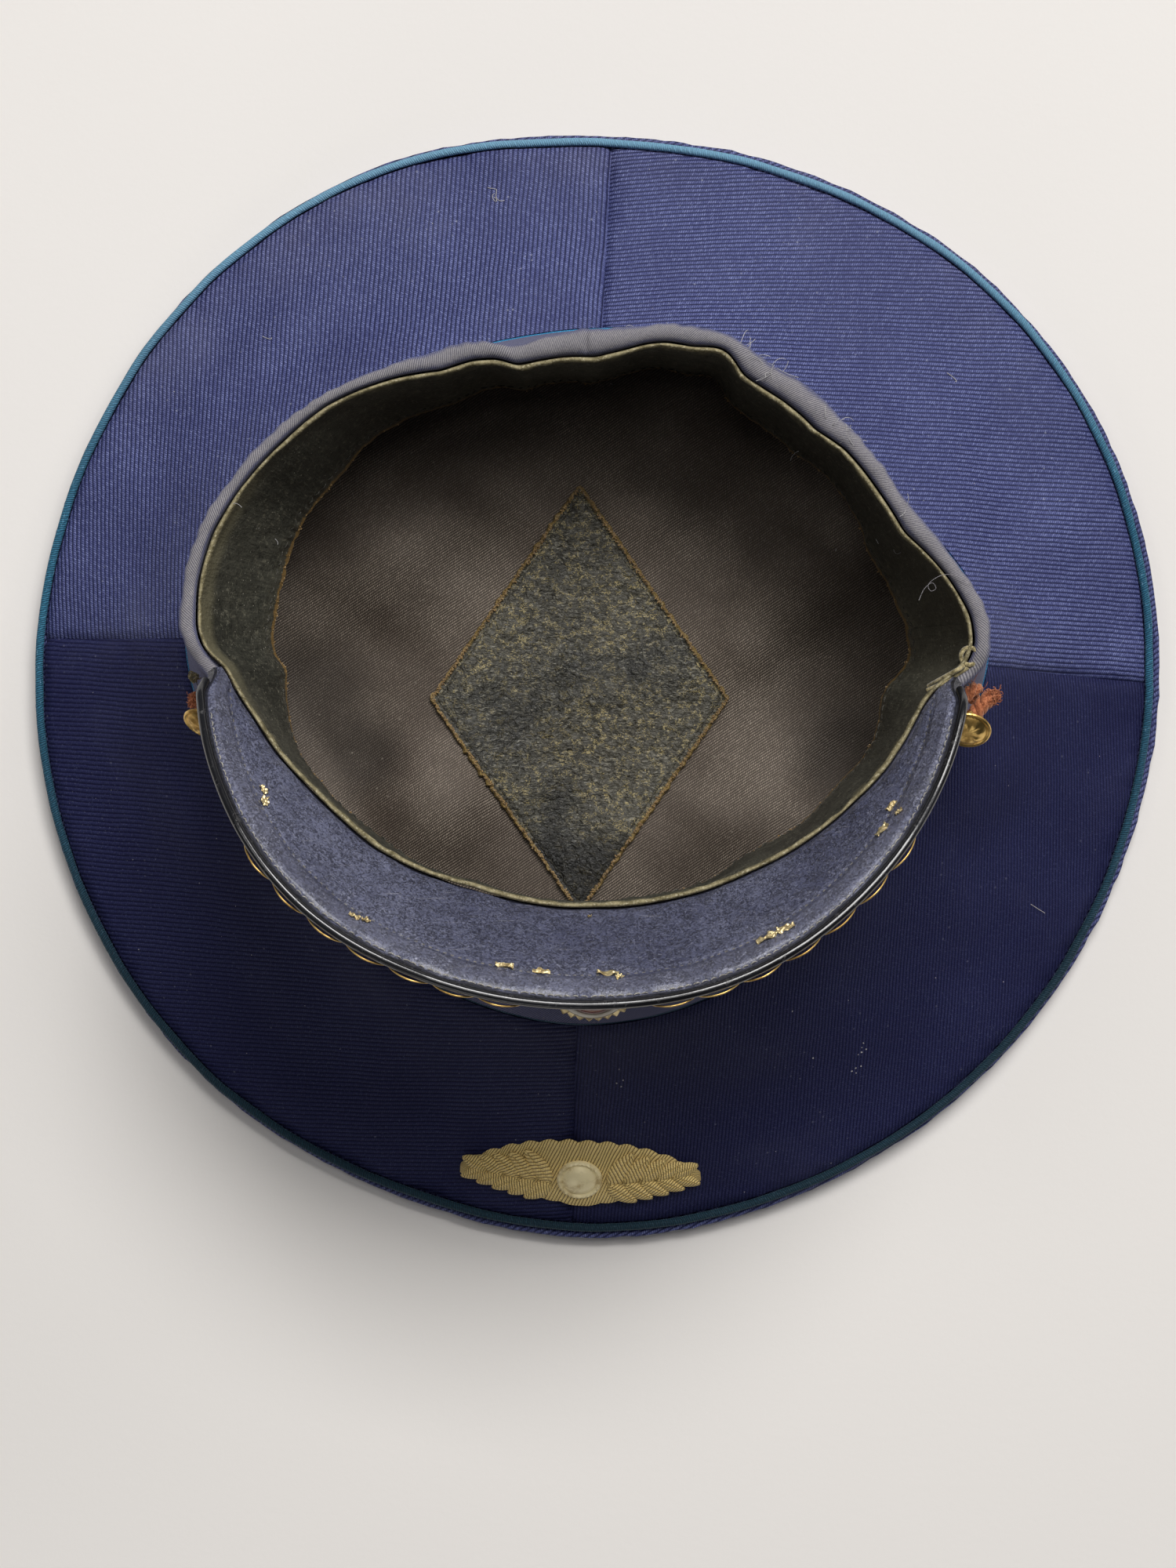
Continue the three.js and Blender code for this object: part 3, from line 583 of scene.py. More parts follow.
def make_grain():
    """Leather grain: rounded cells, clouds of wear, and scratches. The vector is in metres."""
    tree, n, given, out = effect("leather_grain", (
        ("Vector", "Vector", None), ("Scale", "Float", 1500.0),
    ), (("Cell", "Float"), ("Cloud", "Float"), ("Scratch", "Float")))
    loose = n.add("ShaderNodeVectorMath", {0: given["Vector"], 1: n.add("ShaderNodeVectorMath", {
        0: n.add("ShaderNodeTexNoise", {"Vector": given["Vector"], "Scale": 420.0}).outputs[1],
        1: (4e-4,) * 3,
    }, operation="MULTIPLY").outputs[0]}, operation="ADD").outputs[0]
    cells = n.add("ShaderNodeTexVoronoi", {"Vector": loose, "Scale": given["Scale"]})
    dome = n.step(cells.outputs["Distance"], 0.75, 0.05)
    scratch = 0.0
    for turn, squeeze in ((25, 30.0), (-50, 24.0), (80, 36.0)):
        lines = n.noise(n.stretch(given["Vector"], (60, 60 * squeeze, 60), turn), 1.0, 3, 0.55)
        scratch = n.math("MAXIMUM", scratch, n.step(lines, 0.69, 0.76))
    cloud = n.noise(given["Vector"], 26.0, 4, 0.6)
    for key, value in (("Cell", dome), ("Cloud", cloud), ("Scratch", scratch)):
        n.feed(out.inputs[key], value)
    return tree


def make_dust():
    """Pale lint and dust specks. The vector is in metres."""
    tree, n, given, out = effect("dust_and_lint", (("Vector", "Vector", None), ("Amount", "Float", 1.0)),
                                 (("Mask", "Float"),))
    spots = n.specks(given["Vector"], 330.0, 0.13)
    fine = n.specks(given["Vector"], 900.0, 0.16)
    patches = n.step(n.noise(given["Vector"], 30.0, 3), 0.5, 0.66)
    mask = n.math("MAXIMUM", n.times(spots, n.step(n.noise(given["Vector"], 75.0, 2), 0.52, 0.6)),
                  n.times(fine, patches))
    n.feed(out.inputs["Mask"], n.times(mask, given["Amount"], clamp=True))
    return tree


TWILL, GRAIN, DUST = make_twill(), make_grain(), make_dust()


def colour(red, green, blue):
    """A colour given in display values, 0 to 255, as the linear light that a shader wants."""
    return tuple((part / 255 / 12.92) if part <= 10 else ((part / 255 + 0.055) / 1.055) ** 2.4
                 for part in (red, green, blue))


def material(name, **shader):
    """A new material: its nodes, its shader node, and its object and cloth coordinates."""
    result = bpy.data.materials.new(name)
    result.use_nodes = True
    nodes = Nodes(result.node_tree)
    principled = result.node_tree.nodes["Principled BSDF"]
    for key, value in shader.items():
        nodes.feed(principled.inputs[key.replace("_", " ")], value)
    place = nodes.add("ShaderNodeTexCoord").outputs["Object"]
    cloth = nodes.add("ShaderNodeUVMap", uv_map="UVMap").outputs[0]
    return result, nodes, principled, place, cloth


def relief(n, principled, *layers):
    """Bumps one on another: rows of strength, depth in millimetres and height."""
    normal = None
    for strength, depth, height in layers:
        inputs = {"Strength": strength, "Distance": depth * MM, "Height": height}
        if normal is not None:
            inputs["Normal"] = normal
        normal = n.add("ShaderNodeBump", inputs).outputs[0]
    n.feed(principled.inputs["Normal"], normal)


def uniform_twill(name, rib_angle, pitch=1.28, lint=1.0, painted_shade=0.0, contrast=0.6, gloss=0.5):
    """Dark-blue ribbed uniform cloth. The rib's angle is in degrees on the uncut cloth. Painted shade can
    darken the whole cloth towards dark navy, which also hides its wear and dust.
    """
    result, n, shader, place, cloth = material(
        name, Roughness=0.5, Specular_IOR_Level=gloss, Sheen_Weight=0.2 * gloss, Sheen_Roughness=0.35,
        Specular_Tint=(0.62, 0.68, 1.0), Sheen_Tint=(0.5, 0.6, 1.0))
    rib, yarn, height, shade = n.group(TWILL, Vector=cloth, Pitch=pitch, Angle=math.radians(-rib_angle),
                                       Yarn=0.62)
    fuzz = n.noise(cloth, 3.4, 3, 0.7)
    base = n.blend(n.step(n.plus(rib, n.centred(fuzz, 0.7)), 0.0, 0.55),
                   colour(23, 26, 60), colour(54, 59, 110))
    base = n.blend(n.times(yarn, contrast), base, colour(150, 160, 212))
    nap = n.noise(cloth, 1.5, 4, 0.75)
    base = n.blend(n.times(n.step(nap, 0.46, 0.34), 0.5), base, colour(20, 22, 52))
    base = n.blend(n.times(n.step(nap, 0.55, 0.68), 0.4), base, colour(142, 150, 196))
    base = n.blend(n.step(shade, 0.36, 0.64), n.blend(0.2, base, colour(24, 22, 66)), base)
    # Painted shade: the cloth is darkened towards dark navy, for the front quarters.
    base = n.blend(painted_shade, base, colour(20, 19, 42))
    worn = n.times(n.step(n.noise(place, 19.0, 4, 0.6), 0.55, 0.75), 0.22 * (1 - painted_shade))
    base = n.blend(worn, base, colour(96, 98, 124))
    right, forward, _ = n.parts(place)
    reach = n.math("SQRT", n.plus(n.times(right, right), n.times(forward, forward)))
    rubbed = n.times(n.step(reach, 0.128, 0.156), n.step(forward, 0.05, 0.13))
    rubbed = n.times(rubbed, n.step(n.noise(place, 34.0, 5, 0.7), 0.34, 0.8))
    rubbed = n.times(rubbed, n.math("MULTIPLY_ADD", n.times(rib, fuzz), 0.9, 0.1))
    base = n.blend(n.times(rubbed, 0.42), base, colour(136, 128, 128))
    dust = n.group(DUST, Vector=place, Amount=0.4 * lint * (1 - painted_shade))[0]
    base = n.blend(dust, base, colour(165, 168, 185))
    n.feed(shader.inputs["Base Color"], base)
    n.feed(shader.inputs["Roughness"], n.between(yarn, 0.6, 0.42))
    relief(n, shader, (0.4, 1.0, n.noise(place, 60.0, 3)), (1.0, 0.16, height), (0.6, 0.05, fuzz))
    return result


def piping_cloth(name, dark, light, faded_and_lit):
    """Teal piping: cross ribs run round the tube, paler in patches. Painted shade darkens it towards the
    front, and painted light makes it paler towards the back.
    """
    result, n, shader, place, cloth = material(
        name, Roughness=0.7, Specular_IOR_Level=0.3, Sheen_Weight=0.2, Sheen_Roughness=0.4,
        Sheen_Tint=(0.5, 0.8, 1.0))
    along, round_tube, _ = n.parts(cloth)
    wander = n.times(n.noise(n.stretch(cloth, (1.2, 0.4, 1)), 1.0, 2), 0.9)
    wave = n.math("SINE",
                  n.times(n.plus(n.math("MULTIPLY_ADD", round_tube, 0.3, along), wander), math.tau / 0.6))
    rib = n.math("MULTIPLY_ADD", wave, 0.5, 0.5)
    fuzz = n.noise(place, 1900.0, 3, 0.7)
    base = n.blend(n.step(n.plus(rib, n.centred(fuzz, 0.8)), 0.1, 0.9), dark, light)
    base = n.blend(n.times(n.step(n.noise(place, 22.0, 3), 0.46, 0.62), 0.4), base, dark)
    base = n.blend(n.times(n.step(n.noise(n.stretch(cloth, (0.5, 2, 1)), 1.0, 3), 0.6, 0.72), 0.5), base,
                   faded_and_lit)
    # Painted shade towards the front, and painted light towards the back.
    forward = n.parts(place)[1]
    base = n.blend(n.times(n.step(forward, 0.03, -0.08), 0.84), base, colour(15, 31, 40))
    base = n.blend(n.times(n.step(forward, 0.04, 0.14), 0.6), base, faded_and_lit)
    n.feed(shader.inputs["Base Color"], base)
    relief(n, shader, (1.0, 0.14, rib), (0.6, 0.06, fuzz))
    return result


def band_twill():
    """Grey-blue band cloth, worn grey-brown along the roll. The UV map runs round and over the band."""
    result, n, shader, place, cloth = material(
        "band_twill_worn", Roughness=0.85, Specular_IOR_Level=0.2, Sheen_Weight=0.15, Sheen_Roughness=0.5,
        Sheen_Tint=(0.8, 0.8, 0.9))
    rib, yarn, height, shade = n.group(TWILL, Vector=cloth, Pitch=0.48, Angle=math.radians(-52.0), Yarn=0.5)
    from_top = n.math("ABSOLUTE", n.parts(cloth)[1])
    over = n.step(from_top, 3.1, 0.5)
    ragged = n.centred(n.noise(place, 70.0, 5, 0.7), 1.0)
    worn = n.times(n.step(n.plus(over, ragged), 0.3, 0.95), 0.85)
    fuzz = n.noise(place, 1700.0, 4, 0.7)
    rough_rib = n.plus(rib, n.centred(fuzz, 1.5))
    plain = n.blend(n.step(rough_rib, 0.05, 0.85), colour(60, 62, 92), colour(96, 99, 134))
    plain = n.blend(n.times(yarn, 0.5), plain, colour(138, 141, 172))
    bare = n.blend(n.step(rough_rib, 0.05, 0.85), colour(100, 98, 104), colour(146, 143, 146))
    bare = n.blend(n.times(yarn, 0.5), bare, colour(190, 184, 176))
    base = n.blend(n.step(shade, 0.3, 0.7), n.blend(0.25, plain, colour(24, 24, 44)), plain)
    base = n.blend(worn, base, bare)
    lint = n.step(n.noise(n.stretch(place, (1, 1, 0.4)), 1100.0, 3, 0.7), 0.6, 0.72)
    base = n.blend(n.times(lint, 0.3), base, colour(176, 172, 168))
    n.feed(shader.inputs["Base Color"], base)
    relief(n, shader, (0.6, 0.9, n.noise(place, 140.0, 4)), (0.7, 0.08, height), (0.9, 0.12, fuzz))
    return result


def sweatband_oilcloth():
    """Olive-black oilcloth, beige where its fold has worn. The UV map counts millimetres from that fold."""
    result, n, shader, place, cloth = material("sweatband_oilcloth", Roughness=0.5, Specular_IOR_Level=0.4)
    down = n.math("ABSOLUTE", n.parts(cloth)[1])
    ragged = n.centred(n.noise(place, 210.0, 5, 0.75), 2.2)
    wide = n.times(n.step(n.noise(place, 24.0, 2), 0.42, 0.62), 0.9)
    worn = n.step(n.math("SUBTRACT", n.plus(down, ragged), wide), 1.7, 0.5)
    smudge = n.times(n.times(n.step(down, 7.5, 1.0), n.step(n.noise(
        n.stretch(place, (1, 1, 0.45)), 130.0, 5, 0.7), 0.46, 0.72)), 0.6)
    cell, cloud, _ = n.group(GRAIN, Vector=place, Scale=1150.0)
    pleat = n.noise(n.stretch(cloth, (1.5, 0.16, 1.0)), 1.0, 3, 0.6)
    olive = n.blend(n.step(cloud, 0.3, 0.7), colour(42, 43, 38), colour(76, 75, 66))
    mottle = n.noise(n.stretch(place, (1, 1, 0.7)), 620.0, 5, 0.75, 0.6)
    olive = n.blend(n.times(n.step(mottle, 0.48, 0.36), 0.75), olive, colour(22, 23, 20))
    olive = n.blend(n.times(n.step(mottle, 0.54, 0.68), 0.5), olive, colour(134, 130, 112))
    olive = n.blend(n.times(n.step(pleat, 0.5, 0.75), 0.35), olive, colour(104, 102, 90))
    olive = n.blend(n.times(cell, 0.25), olive, colour(84, 84, 74))
    squiggle = n.times(n.step(n.off(n.noise(place, 520.0, 2), 0.5), 0.012, 0.003),
                       n.step(n.noise(place, 210.0, 2), 0.57, 0.62))
    olive = n.blend(n.times(squiggle, 0.7), olive, colour(150, 148, 132))
    olive = n.blend(n.specks(place, 520.0, 0.12), olive, colour(150, 146, 132))
    olive = n.blend(smudge, olive, colour(138, 130, 100))
    sideways = n.parts(place)[0]
    handled = n.times(n.step(sideways, -0.082, -0.096), n.step(n.plus(down, ragged), 11.0, 5.0))
    olive = n.blend(n.times(handled, 0.6), olive, colour(132, 126, 100))
    olive = n.blend(n.times(n.step(sideways, 0.07, 0.09), 0.4), olive, colour(96, 92, 78))
    frayed = n.step(n.plus(down, n.centred(n.noise(place, 700.0, 4, 0.7), 3.2)), 39.0, 39.6)
    olive = n.blend(frayed, olive, colour(120, 96, 58))
    beige = n.blend(n.step(n.noise(place, 420.0, 5, 0.75), 0.3, 0.7), colour(94, 86, 58),
                    colour(164, 154, 120))
    beige = n.blend(n.times(n.step(n.noise(place, 1500.0, 3), 0.54, 0.66), 0.6), beige, colour(196, 188, 160))
    n.feed(shader.inputs["Base Color"], n.blend(worn, olive, beige))
    shine = n.step(down, 34.0, 36.0)
    n.feed(shader.inputs["Roughness"],
           n.between(worn, n.between(shine, n.between(cloud, 0.45, 0.65), 0.3), 0.85))
    relief(n, shader, (0.4, 0.7, n.noise(place, 70.0, 3)), (0.5, 0.5, pleat), (0.5, 0.12, cell),
           (0.6, 0.12, n.noise(place, 900.0, 4, 0.7)))
    return result


def lining_twill():
    """Brown-grey lining twill with fine lines rising to the right, and three dark spots of painted shade
    beside the sweatband.
    """
    result, n, shader, place, cloth = material(
        "lining_twill_brown", Roughness=0.45, Specular_IOR_Level=0.55, Specular_Tint=(1.0, 0.88, 0.78),
        Sheen_Weight=0.15, Sheen_Roughness=0.4,
        Sheen_Tint=(0.9, 0.8, 0.7))
    rib, yarn, height, shade = n.group(TWILL, Vector=cloth, Pitch=0.66, Angle=math.radians(-33.0), Yarn=0.6)
    fuzz = n.noise(cloth, 5.0, 3, 0.7)
    base = n.blend(n.step(n.plus(rib, n.centred(fuzz, 0.6)), 0.0, 0.9),
                   colour(36, 32, 28), colour(86, 77, 68))
    base = n.blend(n.times(yarn, 0.8), base, colour(170, 156, 142))
    base = n.blend(n.step(shade, 0.4, 0.6), n.blend(0.45, base, colour(40, 30, 25)), base)
    # Painted shade: three dark spots beside the sweatband, two at the left and one at the right.
    for centre, spread in (((-0.080, -0.002, 0.008), 0.024), ((-0.066, -0.019, 0.008), 0.017),
                           ((0.070, -0.019, 0.008), 0.022)):
        off = n.add("ShaderNodeVectorMath", {0: place, 1: centre}, operation="DISTANCE").outputs["Value"]
        base = n.blend(n.times(n.step(off, spread, spread * 0.3), 0.72), base, colour(22, 18, 16))
    base = n.blend(n.group(DUST, Vector=place, Amount=0.3)[0], base, colour(160, 152, 140))
    n.feed(shader.inputs["Base Color"], base)
    n.feed(shader.inputs["Roughness"], n.between(yarn, 0.55, 0.38))
    relief(n, shader, (0.5, 1.2, n.noise(place, 45.0, 4)), (0.9, 0.1, height))
    return result


def patch_oilcloth():
    """Black-grey crinkled oilcloth, rubbed through to ochre in patches and along its edge."""
    result, n, shader, place, cloth = material("patch_oilcloth", Roughness=0.42, Specular_IOR_Level=0.5)
    cell, cloud, _ = n.group(GRAIN, Vector=place, Scale=1300.0)
    crinkle = n.noise(n.stretch(place, (620, 1500, 900)), 1.0, 4, 0.65, 1.2)
    base = n.blend(n.step(cloud, 0.34, 0.66), colour(42, 42, 38), colour(70, 68, 61))
    base = n.blend(n.times(n.step(crinkle, 0.5, 0.36), 0.9), base, colour(17, 17, 16))
    base = n.blend(n.times(n.step(crinkle, 0.54, 0.66), 0.6), base, colour(146, 143, 130))
    zone = n.step(n.noise(place, 30.0, 4, 0.6), 0.32, 0.58)
    curls = n.off(n.noise(n.stretch(place, (700, 1000, 800)), 1.0, 2, 0.5, 1.2), 0.5)
    rubbed = n.times(n.step(curls, 0.045, 0.015), n.step(n.noise(place, 480.0, 3), 0.46, 0.58))
    base = n.blend(n.times(n.times(rubbed, zone), 0.75), base, colour(184, 168, 118))
    base = n.blend(n.times(zone, 0.06), base, colour(130, 120, 88))
    base = n.blend(n.times(n.step(n.noise(place, 55.0, 2), 0.4, 0.3), 0.5), base, colour(30, 29, 26))
    # Painted shade: the patch is darkened towards its front end, near the sweatband.
    forward = n.parts(place)[1]
    base = n.blend(n.times(n.step(forward, -0.037, -0.048), 0.85), base, colour(14, 14, 14))
    near = []
    for part in n.parts(cloth)[:2]:
        near.append(n.off(part, PATCH_SIDE / 2))
    out = n.math("MAXIMUM", *near)
    ragged = n.centred(n.noise(place, 620.0, 4, 0.7), 1.8)
    base = n.blend(n.step(n.plus(out, ragged), PATCH_SIDE / 2 - 0.9, PATCH_SIDE / 2 - 0.3), base,
                   colour(134, 112, 66))
    n.feed(shader.inputs["Base Color"], base)
    n.feed(shader.inputs["Roughness"], n.between(n.noise(place, 60.0, 3), 0.2, 0.5))
    relief(n, shader, (0.5, 0.9, n.noise(place, 130.0, 3)), (1.0, 0.9, n.noise(place, 520.0, 2, 0.5, 0.8)),
           (0.9, 0.4, crinkle), (0.5, 0.1, cell))
    return result


def leatherette(name, dark, light, grain, gloss):
    """Creased leatherette: painted shade in its creases, painted highlights, scuffs, pale scratches and a
    dotted seam line. The UV map counts millimetres along and from the edge."""
    result, n, shader, place, cloth = material(name, Roughness=0.34, Specular_IOR_Level=0.7, Coat_Weight=0.35,
                                               Coat_Roughness=0.2)
    cell, cloud, scratch = n.group(GRAIN, Vector=place, Scale=grain)
    wrinkle = n.noise(place, grain * 0.72, 3, 0.55, 0.9)
    along_edge, from_edge, _ = n.parts(cloth)
    strip = n.step(n.off(from_edge, 5.6), 3.6, 2.4)
    base = n.blend(n.step(cloud, 0.28, 0.72), dark, light)
    fine = n.noise(place, grain * 1.25, 4, 0.65, 0.9)
    # Painted shade: the creases and the grain's hollows, which the bumps below sink, are darkened.
    folded = n.step(n.off(wrinkle, 0.5), 0.055, 0.005)
    folded = n.times(folded, n.step(n.noise(place, grain * 0.2, 3, 0.6), 0.36, 0.6))
    hollow = n.step(fine, 0.5, 0.41)
    base = n.blend(n.times(n.math("MAXIMUM", folded, hollow), 0.8), base, colour(30, 32, 54))
    # Painted highlights: pale specks all over the grain, stronger in patches within about 24 mm of the edge.
    painted_sheen = n.times(n.step(n.noise(place, 210.0, 4, 0.7), 0.45, 0.62), n.step(from_edge, 24.0, 8.0))
    painted_glint = n.math("MULTIPLY_ADD", n.step(fine, 0.55, 0.66), 0.6, 0.06)
    base = n.blend(n.times(n.math("MULTIPLY_ADD", painted_sheen, 0.75, 0.25), painted_glint), base,
                   colour(186, 189, 208))
    base = n.blend(n.times(scratch, 0.35), base, colour(170, 170, 180))
    dotted = n.times(n.step(n.off(from_edge, 10.6), 0.28, 0.12), n.step(
        n.math("FRACT", n.math("DIVIDE", along_edge, 2.1)), 0.5, 0.35))
    base = n.blend(n.times(dotted, 0.55), base, colour(164, 158, 138))
    base = n.blend(n.times(n.step(from_edge, 1.7, 0.9), 0.8), base, colour(14, 14, 18))
    ragged = n.centred(n.noise(place, 190.0, 5, 0.7), 0.9)
    base = n.blend(n.times(n.step(n.plus(strip, ragged), 0.5, 0.95), 0.14), base,
                   colour(138, 138, 148))
    smear = n.times(n.step(n.noise(n.stretch(place, (30, 50, 40), 20), 1.0, 5, 0.7), 0.6, 0.75), 0.08)
    base = n.blend(smear, base, colour(176, 172, 162))
    base = n.blend(n.group(DUST, Vector=place, Amount=0.25)[0], base, colour(176, 176, 186))
    n.feed(shader.inputs["Base Color"], base)
    n.feed(shader.inputs["Roughness"], n.between(cloud, gloss, gloss + 0.22))
    relief(n, shader, (0.4, 1.2, n.noise(place, 110.0, 3)), (0.8, 0.4, n.math("SUBTRACT", 1.0, folded)),
           (1.0, 0.42, fine), (0.5, 0.1, cell), (0.3, 0.05, scratch))
    return result


def edge_vinyl():
    """Shiny grey-black moulded bead, scuffed along its top."""
    result, n, shader, place, _ = material("edge_vinyl_grey", Roughness=0.3, Specular_IOR_Level=0.6,
                                               Coat_Weight=0.3, Coat_Roughness=0.15)
    cloud = n.noise(place, 45.0, 4)
    scuff = n.step(n.noise(place, 320.0, 5, 0.7), 0.58, 0.7)
    base = n.blend(n.step(cloud, 0.3, 0.7), colour(14, 14, 17), colour(30, 31, 35))
    base = n.blend(n.times(scuff, 0.25), base, colour(120, 118, 120))
    n.feed(shader.inputs["Base Color"], base)
    n.feed(shader.inputs["Roughness"], n.between(scuff, 0.24, 0.5))
    relief(n, shader, (0.4, 0.5, n.noise(place, 150.0, 4)), (0.3, 0.06, scuff))
    return result


def metal(name, bright, dull, rough, metallic=1.0):
    """Worn gilt or pale metal, tarnished in patches."""
    result, n, shader, place, _ = material(name, Metallic=metallic, Roughness=rough)
    tarnish = n.step(n.noise(place, 240.0, 5, 0.65), 0.42, 0.66)
    fine = n.noise(place, 2200.0, 3)
    base = n.blend(n.times(tarnish, 0.8), bright, dull)
    n.feed(shader.inputs["Base Color"], base)
    n.feed(shader.inputs["Roughness"], n.between(tarnish, rough, min(0.85, rough + 0.3)))
    relief(n, shader, (0.3, 0.15, fine))
    return result


def bullion(name):
    """Pale gold bullion: thread ribs across each piece, counted in millimetres by its UV map."""
    result, n, shader, place, cloth = material(name, Metallic=0.0, Roughness=0.4, Specular_IOR_Level=0.6)
    along, across, _ = n.parts(cloth)
    slant = n.plus(along, n.times(across, 0.45))
    rib = n.math("ABSOLUTE", n.math("SINE", n.times(slant, math.pi / 0.95)))
    coil = n.math("ABSOLUTE",
                  n.math("SINE", n.times(n.math("SUBTRACT", across, n.times(slant, 0.6)), math.pi / 0.6)))
    tarnish = n.step(n.noise(place, 150.0, 5, 0.65), 0.4, 0.7)
    base = n.blend(n.step(rib, 0.1, 0.55), colour(104, 72, 26), colour(255, 226, 150))
    base = n.blend(n.times(n.step(coil, 0.3, 0.1), 0.3), base, colour(96, 68, 26))
    base = n.blend(n.times(tarnish, 0.12), base, colour(180, 148, 84))
    n.feed(shader.inputs["Base Color"], base)
    n.feed(shader.inputs["Roughness"], n.between(tarnish, 0.36, 0.6))
    relief(n, shader, (0.9, 0.3, rib), (0.7, 0.14, coil), (0.4, 0.1, n.noise(place, 900.0, 3)))
    return result


def yarn_material(name, dark, light, scale=1400.0, **shader_values):
    """Fuzzy twisted yarn and thread."""
    result, n, shader, place, _ = material(
        name, **{"Roughness": 0.85, "Specular_IOR_Level": 0.2, "Sheen_Weight": 0.4, "Sheen_Roughness": 0.5,
                 **shader_values})
    fibres = n.noise(place, scale, 4, 0.65)
    base = n.blend(n.step(fibres, 0.35, 0.65), dark, light)
    base = n.blend(n.times(n.step(n.noise(place, 90.0, 3), 0.45, 0.6), 0.35), base, dark)
    n.feed(shader.inputs["Base Color"], base)
    relief(n, shader, (0.9, 0.2, fibres))
    return result


def enamel(name, base_colour, shade):
    result, n, shader, place, _ = material(name, Roughness=0.25, Specular_IOR_Level=0.6, Coat_Weight=0.5,
                                               Coat_Roughness=0.08)
    chips = n.step(n.noise(place, 520.0, 4), 0.64, 0.7)
    base = n.blend(n.step(n.noise(place, 160.0, 3), 0.35, 0.65), base_colour, shade)
    n.feed(shader.inputs["Base Color"], n.blend(n.times(chips, 0.6), base, colour(120, 100, 60)))
    n.feed(shader.inputs["Roughness"], n.between(chips, 0.22, 0.6))
    relief(n, shader, (0.3, 0.2, n.noise(place, 300.0, 3)))
    return result


FINISH = {
    "back_right": uniform_twill("uniform_twill_back_right", 2.0),
    "back_left": uniform_twill("uniform_twill_back_left", 90.0),
    # The front quarters are darker copies of the cloth, with painted shade.
    "front_left": uniform_twill("uniform_twill_front_left", 0.0, painted_shade=0.62, contrast=0.14, gloss=0.16),
    "front_right": uniform_twill("uniform_twill_front_right", 90.0, pitch=0.95, painted_shade=0.62, contrast=0.14,
                                 gloss=0.16),
    "crown": uniform_twill("uniform_twill_crown", 32.0, lint=0.6),
    "piping": piping_cloth("piping_ribbed_teal", colour(22, 68, 92), colour(58, 124, 154),
                           colour(138, 184, 214)),
    "piping_band": piping_cloth("piping_ribbed_blue", colour(14, 84, 130), colour(30, 132, 190),
                                colour(80, 176, 226)),
    "band": band_twill(),
    "sweatband": sweatband_oilcloth(),
    "lining": lining_twill(),
    "patch": patch_oilcloth(),
    "visor_inside": leatherette("visor_leatherette_inside", colour(72, 76, 104), colour(110, 114, 140),
                                1050.0, 0.22),
    "visor_top": leatherette("visor_leatherette_top", colour(26, 28, 38), colour(40, 42, 54), 1300.0, 0.22),
    "bead": edge_vinyl(),
    "gilt": metal("gilt_metal_worn", colour(226, 190, 116), colour(140, 108, 58), 0.3),
    "boss": metal("pale_boss", colour(255, 240, 192), colour(196, 170, 112), 0.38, metallic=0.1),
    "gilt_pale": metal("gilt_metal_pale", colour(226, 208, 160), colour(120, 98, 62), 0.34, metallic=0.7),
    "pale": bullion("pale_bullion_thread"),
    "cord": yarn_material("orange_cord_yarn", colour(132, 70, 44), colour(206, 132, 92),
                          Sheen_Tint=(1.0, 0.8, 0.65)),
    "thread_pale": yarn_material("thread_pale", colour(150, 148, 150), colour(214, 212, 214), 3000.0),
    "thread_ochre": yarn_material("thread_ochre", colour(104, 78, 42), colour(176, 146, 96), 3000.0),
    "thread_grey": yarn_material("thread_grey", colour(110, 108, 104), colour(196, 192, 182), 3000.0),
    "fold_beige": yarn_material("fold_beige_worn", colour(104, 94, 62), colour(186, 172, 130), 900.0),
    "thread_dark": yarn_material("thread_dark", colour(26, 26, 22), colour(70, 66, 52), 3000.0),
    "fibre_grey": yarn_material("fibre_grey", colour(96, 92, 96), colour(170, 166, 172), 3000.0),
    "enamel_red": enamel("enamel_dark_red", colour(112, 16, 20), colour(80, 8, 14)),
    "enamel_white": enamel("enamel_white", colour(220, 214, 200), colour(180, 172, 156)),
}


# ---- crown ------------------------------------------------------------------------------------

# The crown's section, from its flat resting face round its outline: place inwards, and height. Rows past
# CROWN_FLAT inwards keep their share of CROWN_REACH, and the rows of CROWN_ROLL pucker.
CROWN_REACH, CROWN_FLAT, CROWN_ROLL = 156.0, 100.0, range(11, 18)
CROWN_SECTION = (
    (156, 0), (146, 0), (130, 0), (110, 0), (90, 0), (70, 0), (50, 0), (30, 0), (14, 0), (7, 0), (4.4, 0.3),
    (2.4, 1.3), (1.1, 2.6), (0.3, 3.9), (0, 4.9), (0.2, 5.7), (0.9, 6.1), (1.6, 5.9), (2.4, 5.2), (3.6, 3.2),
    (5.4, 2.3), (8, 2), (20, 2), (40, 2), (70, 2), (110, 2), (156, 2),
)


def crown_section(angle):
    edge = ring_value("crown", angle)
    share = [(edge / CROWN_REACH if inwards > CROWN_FLAT else 1.0) for inwards, _ in CROWN_SECTION]
    radii = np.stack([np.maximum(edge - inwards * part, 0.0)
                      for (inwards, _), part in zip(CROWN_SECTION, share)])
    radii[0] = radii[-1] = 0.0
    heights = np.stack([np.full_like(edge, height) for _, height in CROWN_SECTION])
    pucker = 0.16 * ripple(angle * 2.7, 0.0, 5.0, 21) + 0.14 * ripple(angle * 2.7, 0.0, 16.0, 22)
    for row in CROWN_ROLL:
        radii[row] += pucker - 0.12
    return radii, heights


def crown_place(u, v):
    return on_section(crown_section, CROWN_CENTRE, u, v)


crown_cloth = cloth_grid("crown_top_cloth", 360, len(CROWN_SECTION) - 1, crown_place,
                         lambda u, v: tuple(crown_place(u, v)[:, :2].T), join_round=True)
made(crown_cloth, FINISH["crown"], "uniform_twill", "crown_top")

